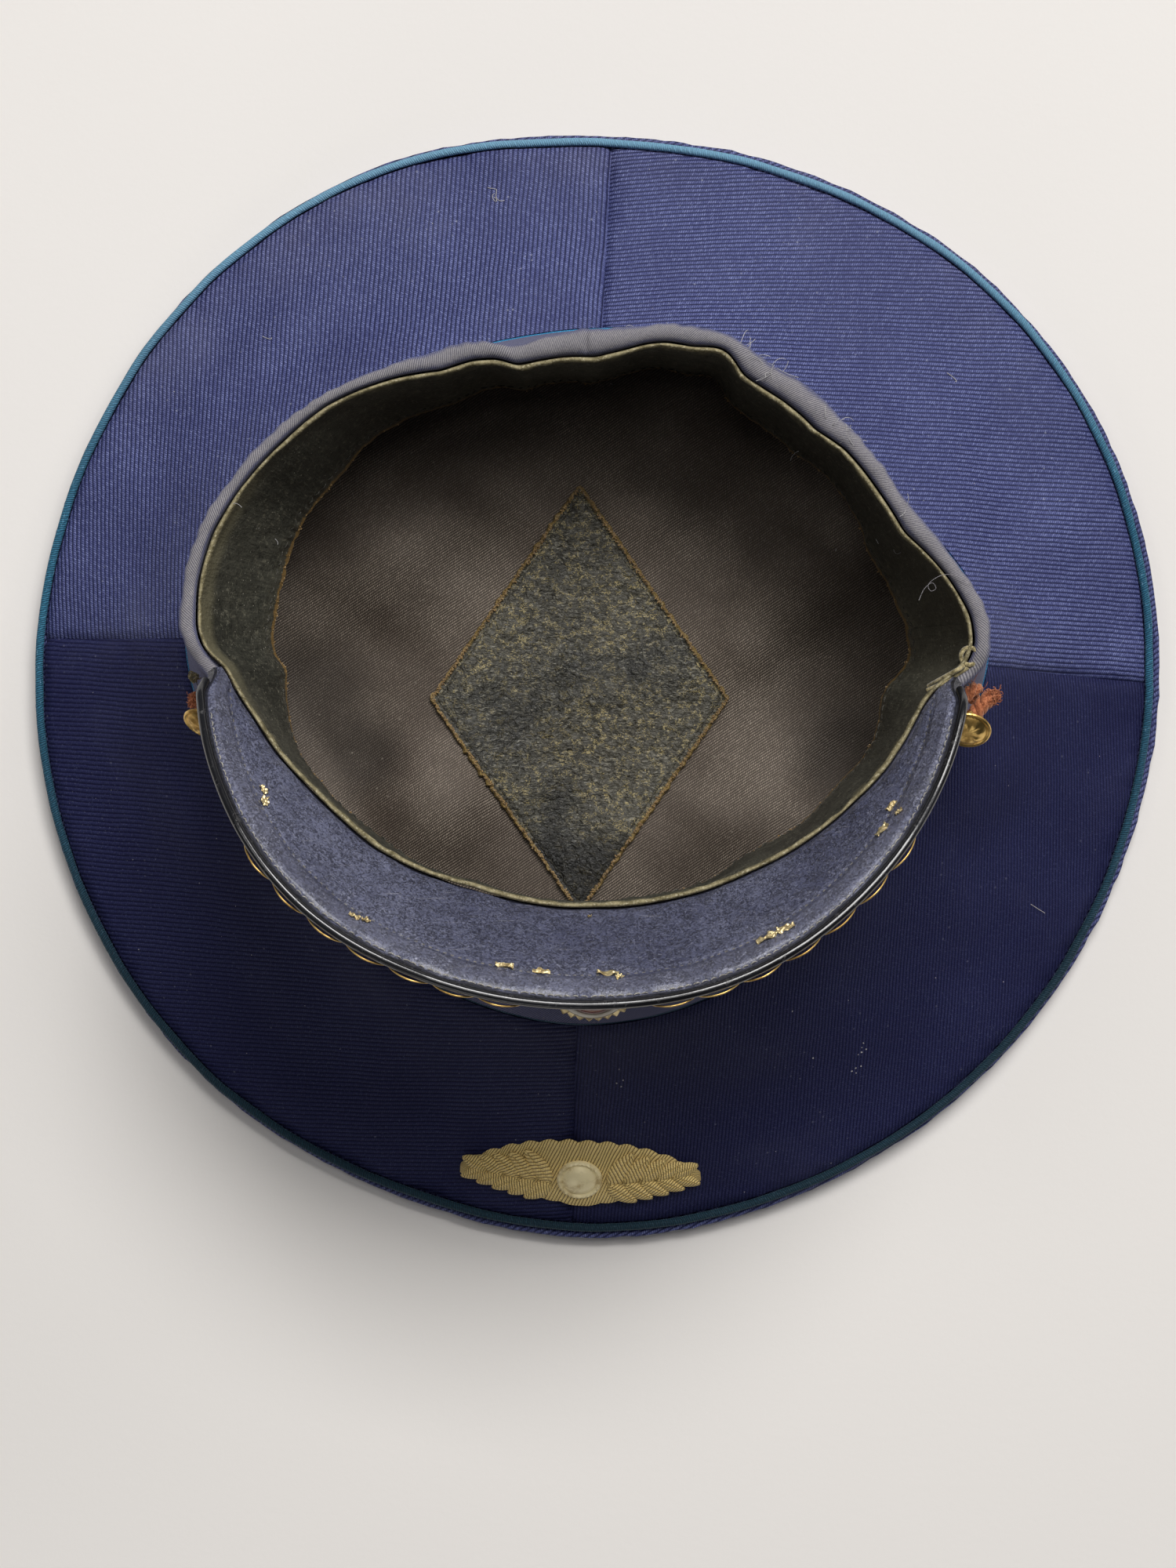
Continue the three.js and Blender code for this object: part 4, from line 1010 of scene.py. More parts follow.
# Seams between the quarters: their angle at the band and at the crown's edge.
SEAMS = {"right": (-5.0, 0.4), "back": (87.0, 88.5), "left": (181.0, 175.0), "front": (268.5, 267.2)}
QUARTERS = (
    ("back_right", "right", "back"), ("back_left", "back", "left"), ("front_left", "left", "front"),
    ("front_right", "front", "right"),
)
# Folds where the band holds the cloth: angle, lift, spread in degrees, and reach across the quarter.
FOLDS = (
    (104, 2.2, 9, 0.55), (62, -1.6, 10, 0.5), (340, 1.6, 8, 0.5), (205, 1.4, 9, 0.6), (333, -1.0, 5, 0.6),
    (347, -0.9, 4, 0.45), (22, 0.8, 7, 0.5), (150, -0.9, 8, 0.5), (298, 0.7, 7, 0.6), (236, -0.8, 8, 0.6),
    (122, -2.6, 9, 0.6), (137, -2.0, 9, 0.6), (47, -2.0, 8, 0.5), (8, -1.8, 7, 0.5), (168, -1.6, 9, 0.7),
)
QUARTER_SLOPE = math.radians(25.0)
# The quarters' cloth: its thickness, its radius at the band, and its width in plan and along its slope.
CLOTH, JOIN_REACH, QUARTER_WIDTH, QUARTER_SLANT = 1.6, 92.0, 62.0, 66.0


def quarter_point(join_angle, edge_angle, across):
    """The middle of the quarters' cloth, from 0 at the band to 1 at the crown's edge."""
    inner = on_ring(RIM_CENTRE, join_angle, ring_value("join", join_angle) + PIPING + 0.2,
                    join_height(join_angle))
    edge = crown_piping_centre(edge_angle)
    reach = np.hypot(edge[..., 0], edge[..., 1])
    shrink = (reach - PIPING - 0.35) / reach
    outer = edge * np.stack([shrink, shrink, np.ones_like(shrink)], axis=-1)
    point = inner + (outer - inner) * np.asarray(across)[..., None]
    sag = -4.0 * np.sin(np.pi * across)
    for at, lift, spread, reach_in in FOLDS:
        fade = np.sin(np.pi * np.minimum(1.0, across / reach_in)) ** 2
        sag = sag + lift * fade * bump(turn_between(join_angle, at), spread)
    point[..., 2] += sag
    return point


for quarter, start, end in QUARTERS:
    (join_from, edge_from), (join_to, edge_to) = SEAMS[start], SEAMS[end]
    join_turn, edge_turn = (join_to - join_from) % 360, (edge_to - edge_from) % 360
    middle = edge_from + edge_turn / 2

    def quarter_place(u, v):
        join_angle, edge_angle = join_from + u * join_turn, edge_from + u * edge_turn
        point = quarter_point(join_angle, edge_angle, v)
        x, y = point[:, 0].copy(), point[:, 1].copy()
        width = np.radians(join_turn) * (JOIN_REACH + QUARTER_WIDTH * v)
        to_seam, to_edge, to_band = np.minimum(u, 1 - u) * width, (1 - v) * QUARTER_SLANT, v * QUARTER_SLANT
        point[:, 2] += CLOTH / 2 + 0.5 * ripple(x, y, 42.0, 31) + 0.22 * ripple(x, y, 15.0, 32)
        point[:, 2] -= 1.5 * bump(to_seam, 1.1) + 0.5 * bump(to_seam, 4.0)
        point[:, 2] += bump(to_seam, 7.0) * 0.3 * ripple(x, y, 7.0, 33)
        point[:, 2] -= 0.9 * bump(to_edge, 1.3) - bump(to_edge, 6.0) * 0.28 * ripple(x, y, 6.0, 34)
        point[:, 2] -= 0.7 * bump(to_band, 1.4)
        return point

    def quarter_flat(u, v):
        point = quarter_place(u, v)
        reach = np.hypot(point[:, 0], point[:, 1]) / math.cos(QUARTER_SLOPE)
        angle = np.degrees(np.arctan2(point[:, 1], point[:, 0]))
        turn = radians(middle + turn_between(angle, middle) * math.cos(QUARTER_SLOPE))
        return reach * np.cos(turn), reach * np.sin(turn)

    cloth = cloth_grid(f"quarter_cloth_{quarter}", 170, 52, quarter_place, quarter_flat, flip=True,
                       thickness=CLOTH)
    made(cloth, FINISH[quarter], "uniform_twill", f"crown_quarter_{quarter}")

PIPING_STEPS, PIPING_SIDES = 720, 12
for name, centre_of, length, finish, node in (
    ("crown_piping_cord", crown_piping_centre, 965.0, "piping", "crown_piping"),
    ("band_piping_cord", band_piping_centre, 610.0, "piping_band", "band_piping"),
):
    made(ring_tube(name, centre_of, PIPING, PIPING_STEPS, PIPING_SIDES, length), FINISH[finish],
         "piping_cloth", node)

# ---- band, sweatband and lining ---------------------------------------------------------------

BAND_WALL, BAND_WALL_ROWS, BAND_INSIDE_ROWS = 2.2, 15, 10


def band_section(angle):
    """From the foot up the outer wall, over the roll, down the inner wall, and back to the foot."""
    outer, inner = roll_radius(angle), fold_radius(angle) + 0.35
    lumps = 0.28 * ripple(angle * 1.5, 0.0, 9.0, 41) + 0.18 * ripple(angle * 1.5, 0.0, 3.6, 42)
    outer = outer + lumps * (1 - visor_share(angle))
    top = band_top(angle) + 0.3 * ripple(angle * 1.5, 0.0, 14.0, 43) * (1 - visor_share(angle))
    half, middle = (outer - inner) / 2, (outer + inner) / 2
    rise = np.clip(half * 0.95, 1.2, 3.0)
    tick = 1.0 * bump(turn_between(angle, 90.0) * 1.35, 0.7)
    rows = []
    for share in np.linspace(0, 1, BAND_WALL_ROWS):
        radius, height = band_wall(angle, share)
        rows.append((radius + 0.35 * np.sin(np.pi * share) * ripple(angle * 1.7, 30 * share, 24.0, 44),
                     height))
    for turn in np.radians((-35, -15, 0, 15, 30, 45, 60, 75, 90, 105, 120, 135, 150, 165, 180)):
        side = middle + half * np.cos(turn)
        rows.append((side, top - rise + (rise - tick) * np.sin(turn)))
    for share in np.linspace(1, 0, BAND_INSIDE_ROWS):
        radius, height = band_wall(angle, share)
        rows.append((np.minimum(radius - BAND_WALL, inner + 0.5 + 40 * (1 - share)), height))
    rows.append(rows[0])
    return tuple(np.stack(part) for part in zip(*rows))


band_cloth = hoop("band_cloth", 900, band_section)
made(band_cloth, FINISH["band"], "band_twill", "cap_band")

SWEATBAND_DEPTH, SWEATBAND_THICK = 40.0, 1.1
SHEET_DEPTHS = (3.2, 4.5, 6, 8, 10.5, 13, 16, 19, 22, 25, 28, 30.5, 33, 34.5, 36, 37.2, 38.2, 39.2)


def sweatband_section(angle):
    """From the free edge up the outer side, over the fold, down the inner side, and back."""
    edge = fold_radius(angle) - 0.15
    lean = ring_value("lean", angle)
    ragged = 0.4 * ripple(angle * 1.5, 0.0, 2.2, 51) + 0.3 * ripple(angle * 1.5, 0.0, 6.0, 52)
    width = 1.25 + 0.25 * ripple(angle * 1.5, 0.0, 19.0, 53) + 0.12 * ripple(angle * 1.5, 0.0, 6.0, 54)
    top = rim_height(angle) - 1.0 + 0.25 * ripple(angle * 1.5, 0.0, 8.0, 55)

    def sheet(depth, side):
        share = np.clip((depth - 4.0) / (SWEATBAND_DEPTH - 4.0), 0, 1) ** 1.12
        wave = ease(depth, 4, 14) * 0.55 * ripple(angle * 1.5, depth * 0.6, 26.0, 56)
        wave = wave + ease(depth, 3, 8) * 0.14 * ripple(angle * 1.5, depth, 7.0, 57)
        pucker = bump(depth - 36.4, 1.5) * 0.3 * ripple(angle * 1.5, 0.0, 2.4, 58)
        return edge - 0.5 - lean * share - side * SWEATBAND_THICK + wave + pucker

    last = SWEATBAND_DEPTH + ragged
    rows = [(sheet(last, 0), top - last)]
    rows += [(sheet(depth, 0), top - depth) for depth in SHEET_DEPTHS[::-1]]
    for turn in np.radians((0, 22, 45, 67, 90, 113, 135, 158, 180)):
        rows.append((edge - width / 2 + width / 2 * np.cos(turn), top - 1.5 + 1.5 * np.sin(turn)))
    rows += [(sheet(depth, 1), top - depth) for depth in SHEET_DEPTHS]
    rows += [(sheet(last, 1), top - last), rows[0]]
    return tuple(np.stack(part) for part in zip(*rows))


sweatband_sheet = hoop("sweatband_sheet", 1080, sweatband_section)
made(sweatband_sheet, FINISH["sweatband"], "sweatband_oilcloth", "sweatband")

# Soft billows of the lining: place, lift and spread.
BILLOWS = (
    (-60, 34, 6.0, 18), (-52, 6, -2.2, 14), (-44, -36, 6.4, 20), (-74, -10, -2.6, 12), (58, 34, 5.0, 20),
    (62, 4, -1.6, 14), (46, -38, 5.6, 20), (68, -18, -2.4, 11), (18, 72, 4.0, 18), (-30, 56, 3.0, 15),
    (40, 12, 2.0, 12),
)
LINING_FLOOR, LINING_SHARP = 3.6, 1.6
# The height at which the lining's side starts, and how far it is tucked up behind the sweatband.
LINING_SIDE, LINING_TUCK = 16.0, 12.0


def lining_level(x, y):
    """The billowed bottom of the lining, which never comes below LINING_FLOOR."""
    level = 4.6 + 1.3 * ripple(x, y, 46.0, 61) + 0.3 * ripple(x, y, 19.0, 62)
    for at_x, at_y, lift, spread in BILLOWS:
        level = level + lift * bump(np.hypot(x - at_x, y - at_y), spread)
    return LINING_FLOOR + np.logaddexp(0.0, LINING_SHARP * (level - LINING_FLOOR)) / LINING_SHARP


def lining_section(angle):
    """From the middle outwards, up the side, and behind the sweatband."""
    outer, join = ring_value("join", angle) - 4.0, join_height(angle)
    rows = []
    for share in (*np.linspace(0, 0.8, 30), 0.84, 0.88, 0.91, 0.94, 0.965, 0.985):
        x, y, _ = np.moveaxis(on_ring(RIM_CENTRE, angle, outer * share, 0.0), -1, 0)
        rows.append((outer * share, lining_level(x, y) + ease(share, 0.8, 1.0) * 5.0))
    tuck_radius = band_radius(angle, join + LINING_TUCK) - BAND_WALL - 3.2
    wave = 0.5 * ripple(angle * 1.6, 0.0, 20.0, 63)
    for rise in np.linspace(12, 0, 7)[:-1]:
        rows.append((outer - 0.05 * rise + wave * 0.5, np.maximum(LINING_SIDE - rise * 0.5, 0.0) + 0 * outer))
    for share in np.linspace(0, 1, 7):
        rows.append((outer + wave * 0.5, LINING_SIDE + (join - LINING_SIDE) * share))
    for share in (0.33, 0.66, 1.0):
        rows.append((outer + (tuck_radius - outer) * share, join + LINING_TUCK * share))
    return tuple(np.stack(part) for part in zip(*rows))


def lining_flat(u, v):
    """Where the lining's points lie on its uncut round."""
    radii, heights = lining_section(360.0 * u)
    runs = np.hypot(np.diff(radii, axis=0), np.diff(heights, axis=0))
    over = np.concatenate((np.zeros((1, len(u))), np.cumsum(runs, axis=0)))
    reach = over[np.rint(v * (len(radii) - 1)).astype(int), np.arange(len(u))]
    return reach * np.cos(2 * np.pi * u), reach * np.sin(2 * np.pi * u)


LINING_ROWS = len(lining_section(np.zeros(1))[0]) - 1
lining_cloth = cloth_grid("lining_cloth", 240, LINING_ROWS,
                          lambda u, v: on_section(lining_section, RIM_CENTRE, u, v),
                          lining_flat, join_round=True, flip=True, thickness=0.9)
made(lining_cloth, FINISH["lining"], "lining_twill", "lining")

# Middle of the diamond patch and its half diagonals.
PATCH = {"x": -5.0, "y": -3.4, "across": 41.4, "along": 59.5}


def patch_place(u, v):
    x = PATCH["x"] + (u - v) * PATCH["across"]
    y = PATCH["y"] + (u + v - 1) * PATCH["along"]
    to_side = np.minimum(np.minimum(u, 1 - u), np.minimum(v, 1 - v)) * PATCH_SIDE
    fray = bump(to_side, 0.6)
    x = x + fray * 0.4 * ripple(x, y, 2.6, 71)
    y = y + fray * 0.4 * ripple(x, y, 2.6, 72)
    sink = 0.55 * bump(to_side - 1.5, 0.6) - 0.25 * fray
    return np.stack([x, y, lining_level(x, y) + 1.5 + 0.25 * ripple(x, y, 9.0, 73) * ease(to_side, 1, 8)
                     + 0.35 * ripple(x, y, 22.0, 74) * ease(to_side, 1, 8) - sink], axis=-1)


patch_cloth = cloth_grid("diamond_patch_cloth", 130, 130, patch_place,
                         lambda u, v: (u * PATCH_SIDE, v * PATCH_SIDE), thickness=0.9)
made(patch_cloth, FINISH["patch"], "patch_oilcloth", "lining_patch")

# ---- visor ------------------------------------------------------------------------------------

VISOR_STEEP, VISOR_THICK = 1.75, 2.2
VISOR_LEAN, SLANT = math.atan(VISOR_STEEP), math.hypot(1.0, VISOR_STEEP)
VISOR_TURN = VISOR_ENDS[1] - VISOR_ENDS[0]
VISOR_SEAM, BEAD = 10.6, 1.15


def visor_reach(angle):
    """The visor's width in plan, which never quite closes at its corners."""
    width = ring_value("visor", angle) - fold_radius(angle)
    from_end = np.minimum(angle - VISOR_ENDS[0], VISOR_ENDS[1] - angle)
    return 0.5 * (width + np.hypot(width, 2.8)) * (0.5 + 0.5 * ease(from_end, 0.0, 4.0))


def visor_point(angle, across, outwards=0.0):
    """From 0 at the seam to 1 at the edge, and outwards through the thickness."""
    reach = across * visor_reach(angle)
    height = rim_height(angle) - 0.8 + reach * VISOR_STEEP - outwards * math.cos(VISOR_LEAN)
    return on_ring(RIM_CENTRE, angle, fold_radius(angle) + reach + outwards * math.sin(VISOR_LEAN), height)


def from_visor_edge(angle, slant, outwards=0.0):
    """A point at a slant distance from the visor's edge towards its seam."""
    return visor_point(angle, 1.0 - slant / (visor_reach(angle) * SLANT), outwards)


def visor_place(u, v):
    angle = VISOR_ENDS[0] + u * VISOR_TURN
    wide = visor_reach(angle) * SLANT
    slant = (1 - v) * wide
    full = ease(wide, 6.0, 16.0)
    raised = 0.55 * (ease(slant, 2.2, 3.2) - ease(slant, 8.2, 9.2)) - 0.8 * bump(slant - 1.5, 0.7)
    raised = raised - 0.3 * bump(slant - VISOR_SEAM, 0.45) + 0.16 * ripple(u * 280, slant, 13.0, 81)
    raised = (raised - 0.45 * bump(v * wide, 1.4)
              + 0.25 * bump(v * wide - 3.0, 1.6) * ripple(u * 280, 0.0, 5.0, 82))
    return visor_point(angle, v, -raised * full)


# The length of the visor's edge.
VISOR_ARC = 282.0
visor_board = cloth_grid("visor_board", 300, 60, visor_place, lambda u, v: (
    u * VISOR_ARC, (1 - v) * visor_reach(VISOR_ENDS[0] + u * VISOR_TURN) * SLANT), flip=True,
                         thickness=VISOR_THICK)
made(visor_board, FINISH["visor_inside"], "visor_leatherette", "visor")
visor_board.data.materials.append(FINISH["visor_top"])
for face in visor_board.data.polygons:
    away = Vector((face.center.x - RIM_CENTRE[0] * MM, face.center.y - RIM_CENTRE[1] * MM, 0))
    face.material_index = int(face.normal.dot(away) > 0 and face.normal.z < 0)

bead_angles = np.linspace(VISOR_ENDS[0] + 2.0, VISOR_ENDS[1] - 2.0, 260)
made(tubes("visor_bead", [from_visor_edge(bead_angles, -BEAD, 1.0)], BEAD, sides=14), FINISH["bead"],
     "edge_vinyl",
     "visor_edge")


def leaf(name, surface, root, tip, width, lift, puff=0.8):
    """One domed leaf with a sunk midrib, from root to tip on a surface given by its own x, y and height."""
    root, tip = np.array(root, float), np.array(tip, float)
    axis = tip - root
    side = np.array((-axis[1], axis[0])) / np.hypot(*axis)

    def place(u, v):
        across = 2 * v - 1
        half = width / 2 * np.maximum(np.sin(np.pi * np.clip(u, 0, 1) ** 0.8) ** 0.75, 0.03)
        x = root[0] + axis[0] * u + side[0] * across * half
        y = root[1] + axis[1] * u + side[1] * across * half
        dome = puff * (1 - across ** 2) * np.sin(np.pi * u) ** 0.5
        veins = 0.1 * np.cos((u * 9 - np.abs(across) * 1.6) * 2 * np.pi) * (1 - across ** 2)
        rib = 0.42 * puff * bump(across, 0.16) * np.sin(np.pi * np.clip(u * 0.96, 0, 1)) ** 0.5
        return surface(x, y, lift + dome + veins - rib)
    return cloth_grid(name, 16, 8, place, lambda u, v: (u * 10, v * 5), thickness=0.4)


# The radius along which a spray's leaves are laid out, where they start, their spacing and their sizes.
SPRAY_ARC, SPRAY_START, SPRAY_STEP = 95.0, 14.0, 11.2
SPRAY_SIZES = (0.86, 0.96, 1, 1, 0.97, 0.9, 0.78)

for side, name in ((-1, "left"), (1, "right")):
    def on_visor(along, slant, height):
        angle = VISOR_MIDDLE + side * np.degrees(along / SPRAY_ARC)
        return from_visor_edge(angle, slant, VISOR_THICK + 0.35 + height)
    leaves, rims = [], []
    for row, grow in enumerate(SPRAY_SIZES):
        start = SPRAY_START + SPRAY_STEP * row
        leaves.append(leaf("leaf_outer", on_visor, (start, 6.0), (start + 12.4 * grow, 0.7), 6.6 * grow, 0.1,
                           0.5))
        run = np.linspace(0, 1, 22)
        rims.append(on_visor(start + 1.2 + 11.6 * run, 0.9 - 2.7 * np.sin(np.pi * run) ** 0.7,
                             0.35 + 0 * run))
        leaves.append(leaf("leaf_inner", on_visor, (start + 1, 7.4), (start + 12.0 * grow, 6.0 + 8.2 * grow),
                           6.4 * grow, 0.1))
        leaves.append(leaf("leaf_middle", on_visor, (start - 3, 6.6), (start + 9.0, 6.2), 4.2 * grow, 0.7,
                           0.5))
    leaves.append(tubes("leaf_rims", rims, 0.24, sides=8))
    spray = joined(f"visor_leaves_{name}", leaves)
    face_outwards(spray)
    made(spray, FINISH["gilt"], "gilt_metal", f"leaf_spray_{name}")

# ---- badge, cockade, buttons and cord ---------------------------------------------------------

# The badge: its bearing, the turn and length of its half, and how much wider it turns at the band.
BADGE_AT, BADGE_HALF, BADGE_REACH, BADGE_SPREAD = 268.2, 13.6, 36.5, 1.25
# How far its scalloped edges are from the band, at its middle and at its tips.
BADGE_INNER, BADGE_OUTER = (36.5, 50.0), (56.5, 52.5)


def on_badge(x, y, height):
    """x is along the crown's edge from the badge's middle, y across the quarter in millimetres."""
    u = x / BADGE_REACH
    join_angle, edge_angle = SEAMS["front"][0] + u * BADGE_HALF * BADGE_SPREAD, BADGE_AT + u * BADGE_HALF
    point = quarter_point(join_angle, edge_angle, y / QUARTER_WIDTH)
    point[..., 2] += CLOTH / 2 + 0.5 + height
    return point


def badge_backing_place(u, v):
    x, share = (2 * u - 1) * 35.5, np.abs(2 * u - 1)
    scallop = 0.9 * np.abs(np.sin(np.pi * (2 * u - 1) * 6))
    inner = BADGE_INNER[0] + (BADGE_INNER[1] - BADGE_INNER[0]) * share ** 2.2 - scallop
    outer = BADGE_OUTER[0] + (BADGE_OUTER[1] - BADGE_OUTER[0]) * share ** 0.8 + 0.5 * scallop
    y = inner + (outer - inner) * v
    edge = np.minimum(v, 1 - v) * (outer - inner)
    return on_badge(x, y, 0.2 + 0.7 * (1 - bump(edge, 0.8)) * ease(1 - share, 0.0, 0.05))


backing = cloth_grid("badge_backing", 130, 22, badge_backing_place, lambda u, v: (u * 71, v * 20), flip=True,
                     thickness=0.9)
made(backing, FINISH["pale"], "pale_bullion", "crown_badge")

leaves = []
for side in (-1, 1):
    for row in range(5):
        start = 8.5 + 4.7 * row
        leaves.append(leaf("badge_leaf", on_badge, (side * start, 49.5 - 0.2 * row),
                           (side * (start + 7.4), 40.5 + 1.75 * row), 5.2 - 0.3 * row, 0.95, 1.5))
        leaves.append(leaf("badge_leaf", on_badge, (side * start, 50.2 - 0.2 * row),
                           (side * (start + 7.6), 55.4 - 0.55 * row), 4.2 - 0.3 * row, 0.95, 1.3))
badge_leaves = joined("badge_leaves", leaves)
face_outwards(badge_leaves)
made(badge_leaves, FINISH["pale"], "pale_bullion")


def beaded(middle, width, count, lift):
    """Raises a beaded ring: its radius and width, and the number of beads and their height."""
    def move(points):
        radius, turn = polar(points)
        raised = bump(radius - middle, width) * (0.5 + 0.5 * np.cos(count * turn)) * lift
        points = points.copy()
        points[:, 2] += raised * MM * (points[:, 2] > 0)
        return points
    return move


BOSS_PROFILE = (
    (6.2, -0.9), (6.3, 0.1), (6.1, 0.6), (5.6, 0.8), (5.2, 0.7), (4.8, 0.5), (4.4, 0.8), (3.8, 1.3),
    (3.0, 1.75), (2.0, 2.1), (1.0, 2.25), (0.3, 2.3),
)
boss = turned("badge_boss", BOSS_PROFILE, 56, beaded(5.5, 0.5, 28, 0.4))
here, there, over = (on_badge(np.array([x]), np.array([y]), 0.0)[0]
                     for x, y in ((0, 47.5), (2, 47.5), (0, 45.5)))
boss_up = Vector(there - here).cross(Vector(over - here))
boss_up = boss_up if boss_up.z > 0 else -boss_up
place_piece(boss, frame_at(here + np.array(boss_up.normalized()) * 0.9, there - here, boss_up))
made(boss, FINISH["boss"], "pale_bullion")


def band_frame(angle, height):
    """A point on the band's wall, and the directions along, out of and up it."""
    def wall_at(turn, rise):
        at, level = angle + turn, height + rise
        return Vector(on_ring(RIM_CENTRE, at, band_radius(at, level), level))
    here = wall_at(0.0, 0.0)
    along = (wall_at(3.0, 0.0) - wall_at(-3.0, 0.0)).normalized()
    out = along.cross(wall_at(0.0, 1.0) - here).normalized()
    return here, along, out, out.cross(along).normalized()


def stand_on_band(piece, height, stand_off, at, turn=0.0, lift=0.0, gap=0.0):
    """Stands a round piece on the band, its axis outwards, turned and lifted by a few degrees."""
    here, along, out, up = band_frame(at, height)
    here = here + out * gap
    basis = Matrix((along, out, -up)).transposed()
    basis = basis @ Matrix.Rotation(math.radians(turn), 3, "Z") @ Matrix.Rotation(math.radians(-lift), 3, "X")
    axis = basis @ Vector((0, 1, 0))
    matrix = (basis @ Matrix(((1, 0, 0), (0, 0, 1), (0, -1, 0)))).to_4x4()
    matrix.translation = (here + axis * stand_off) * MM
    place_piece(piece, matrix)


# The cockade: its bearing, how far it is above the piping, and its height over its width.
COCKADE_AT, COCKADE_UP, COCKADE_OVAL = 271.0, 14.0, 30.0 / 26.0
RAYS_PROFILE = (
    (11.6, -0.1), (12.4, 0.3), (12.95, 0.7), (12.8, 1.2), (11.4, 1.7), (10.0, 2.1), (8.6, 2.5), (7.8, 2.6),
    (7.2, 2.3), (6.8, 2.0),
)
ENAMEL_RING_PROFILE = ((9.7, 1.4), (9.6, 3.1), (9.1, 4.1), (8.2, 4.6), (7.4, 4.5), (7.0, 3.9))
ENAMEL_CENTRE_PROFILE = ((7.1, 2.9), (7.0, 4.3), (6.4, 5.2), (5.0, 6.0), (3.2, 6.5), (1.4, 6.85), (0.25, 6.9))


def rays(points):
    """Ridges all round the cockade's rim, which is drawn out to an oval."""
    radius, turn = polar(points)
    ridge = 1 - 2 * np.abs(np.mod(turn * 32 / math.tau, 1.0) - 0.5)
    share = ease(radius, 7.0, 9.5)
    points = points.copy()
    points[:, 2] += (ridge - 0.5) * 0.75 * share * MM * (points[:, 2] > 0.0004)
    shrink = 1 - 0.035 * (1 - ridge) * ease(radius, 11.0, 12.6)
    return np.stack([points[:, 0] * shrink, points[:, 1] * shrink * COCKADE_OVAL, points[:, 2]], axis=-1)


def oval(points):
    return points * np.array((1.0, COCKADE_OVAL, 1.0))


cockade_level = float(join_height(COCKADE_AT)) + COCKADE_UP
for name, profile, steps, shape, finish, nodes in (
    ("cockade_rays", RAYS_PROFILE, 192, rays, "gilt_pale", ("band_cockade",)),
    ("cockade_ring", ENAMEL_RING_PROFILE, 72, oval, "enamel_white", ()),
    ("cockade_centre", ENAMEL_CENTRE_PROFILE, 56, oval, "enamel_red", ()),
):
    piece = turned(name, profile, steps, shape)
    stand_on_band(piece, cockade_level, 0.3, COCKADE_AT)
    made(piece, FINISH[finish], "gilt_metal", *nodes)

BUTTON_LEVEL = 64.0
# Each button's bearing, how far it stands off along its axis, its turn and lift, and its shank's gap.
BUTTONS = {"left": (191.2, 7.0, -32.0, 17.0, 1.3), "right": (349.6, 9.5, 50.0, 35.0, 3.6)}
BUTTON_PROFILE = (
    (1.2, -5.4), (1.15, -3.0), (1.2, -0.5), (1.6, -0.25), (3.4, -0.2), (5.3, -0.1), (5.8, 0.1), (6.0, 0.45),
    (5.85, 0.8), (5.5, 0.95), (5.2, 0.8), (4.95, 0.75), (4.75, 0.95), (4.4, 1.25), (3.7, 1.6), (2.8, 1.85),
    (1.8, 2.0), (0.9, 2.08), (0.25, 2.1),
)


def button_relief(points):
    """A plain eight-petalled rosette raised on the dome."""
    radius, turn = polar(points)
    petal = (0.5 + 0.5 * np.cos(8 * turn)) * bump(radius - 2.7, 0.9) * 0.35
    rope = (0.5 + 0.5 * np.cos(36 * turn)) * bump(radius - 5.5, 0.3) * 0.2
    points = points.copy()
    points[:, 2] += (petal + rope) * MM * (points[:, 2] > 0.0006)
    return points


for name, (at, stand_off, turn, lift, gap) in BUTTONS.items():
    button = turned(f"button_domed_{name}", BUTTON_PROFILE, 72, button_relief)
    stand_on_band(button, BUTTON_LEVEL, stand_off, at, turn, lift, gap)
    made(button, FINISH["gilt"], "gilt_metal", f"button_{name}")


def curve_through(points, steps):
    """A smooth line of evenly spaced points through a few points, and its length."""
    points = np.array([tuple(point) for point in points])
    padded = np.concatenate((2 * points[:1] - points[1:2], points, 2 * points[-1:] - points[-2:-1]))
    fine = []
    for row in range(len(points) - 1):
        fine.append(smooth_between(*padded[row:row + 4], np.linspace(0, 1, 24, endpoint=False)[:, None]))
    fine = np.concatenate((*fine, points[-1:]))
    run = np.concatenate(([0.0], np.cumsum(np.linalg.norm(np.diff(fine, axis=0), axis=1))))
    even = np.linspace(0, run[-1], steps)
    return np.stack([np.interp(even, run, fine[:, part]) for part in range(3)], axis=-1), run[-1]


def strands_round(line, length, side, up, reach, lay):
    """Three strands twisted round a line, at a reach from it, each once round in a lay's length."""
    strands = []
    for strand in range(3):
        twist = np.linspace(0, math.tau * length / lay, len(line)) + strand * math.tau / 3
        strands.append(line + reach * (np.cos(twist)[:, None] * side + np.sin(twist)[:, None] * up))
    return strands


# The chin cord: how far it lies off the band and under the rim, the reach of its eyes at the buttons, and
# its steps, of which FUZZY at each end show most of its fuzz.
CORD_OFF, CORD_DROP, CORD_EYE, CORD_STEPS, FUZZY = 2.3, 12.0, 3.9, 1100, 160


def cord_route():
    """From the left button's eye along the front of the band to the right one's."""
    ways = []
    for name, mirrored in (("left", -1.0), ("right", 1.0)):
        here, along, out, up = band_frame(BUTTONS[name][0], BUTTON_LEVEL)
        eye = []
        for turn in (250, 190, 130, 70, 10):
            sideways, upwards = heading(turn)
            eye.append(here - along * (CORD_EYE * sideways * mirrored) + up * CORD_EYE * upwards
                       + out * CORD_OFF)
        ways.append(eye)
    middle = []
    for angle in np.linspace(BUTTONS["left"][0] + 9.0, BUTTONS["right"][0] - 9.0, 15):
        here, _, out, _ = band_frame(angle, float(rim_height(angle)) - CORD_DROP)
        middle.append(here + out * CORD_OFF)
    return ways[0] + middle + ways[1][::-1]


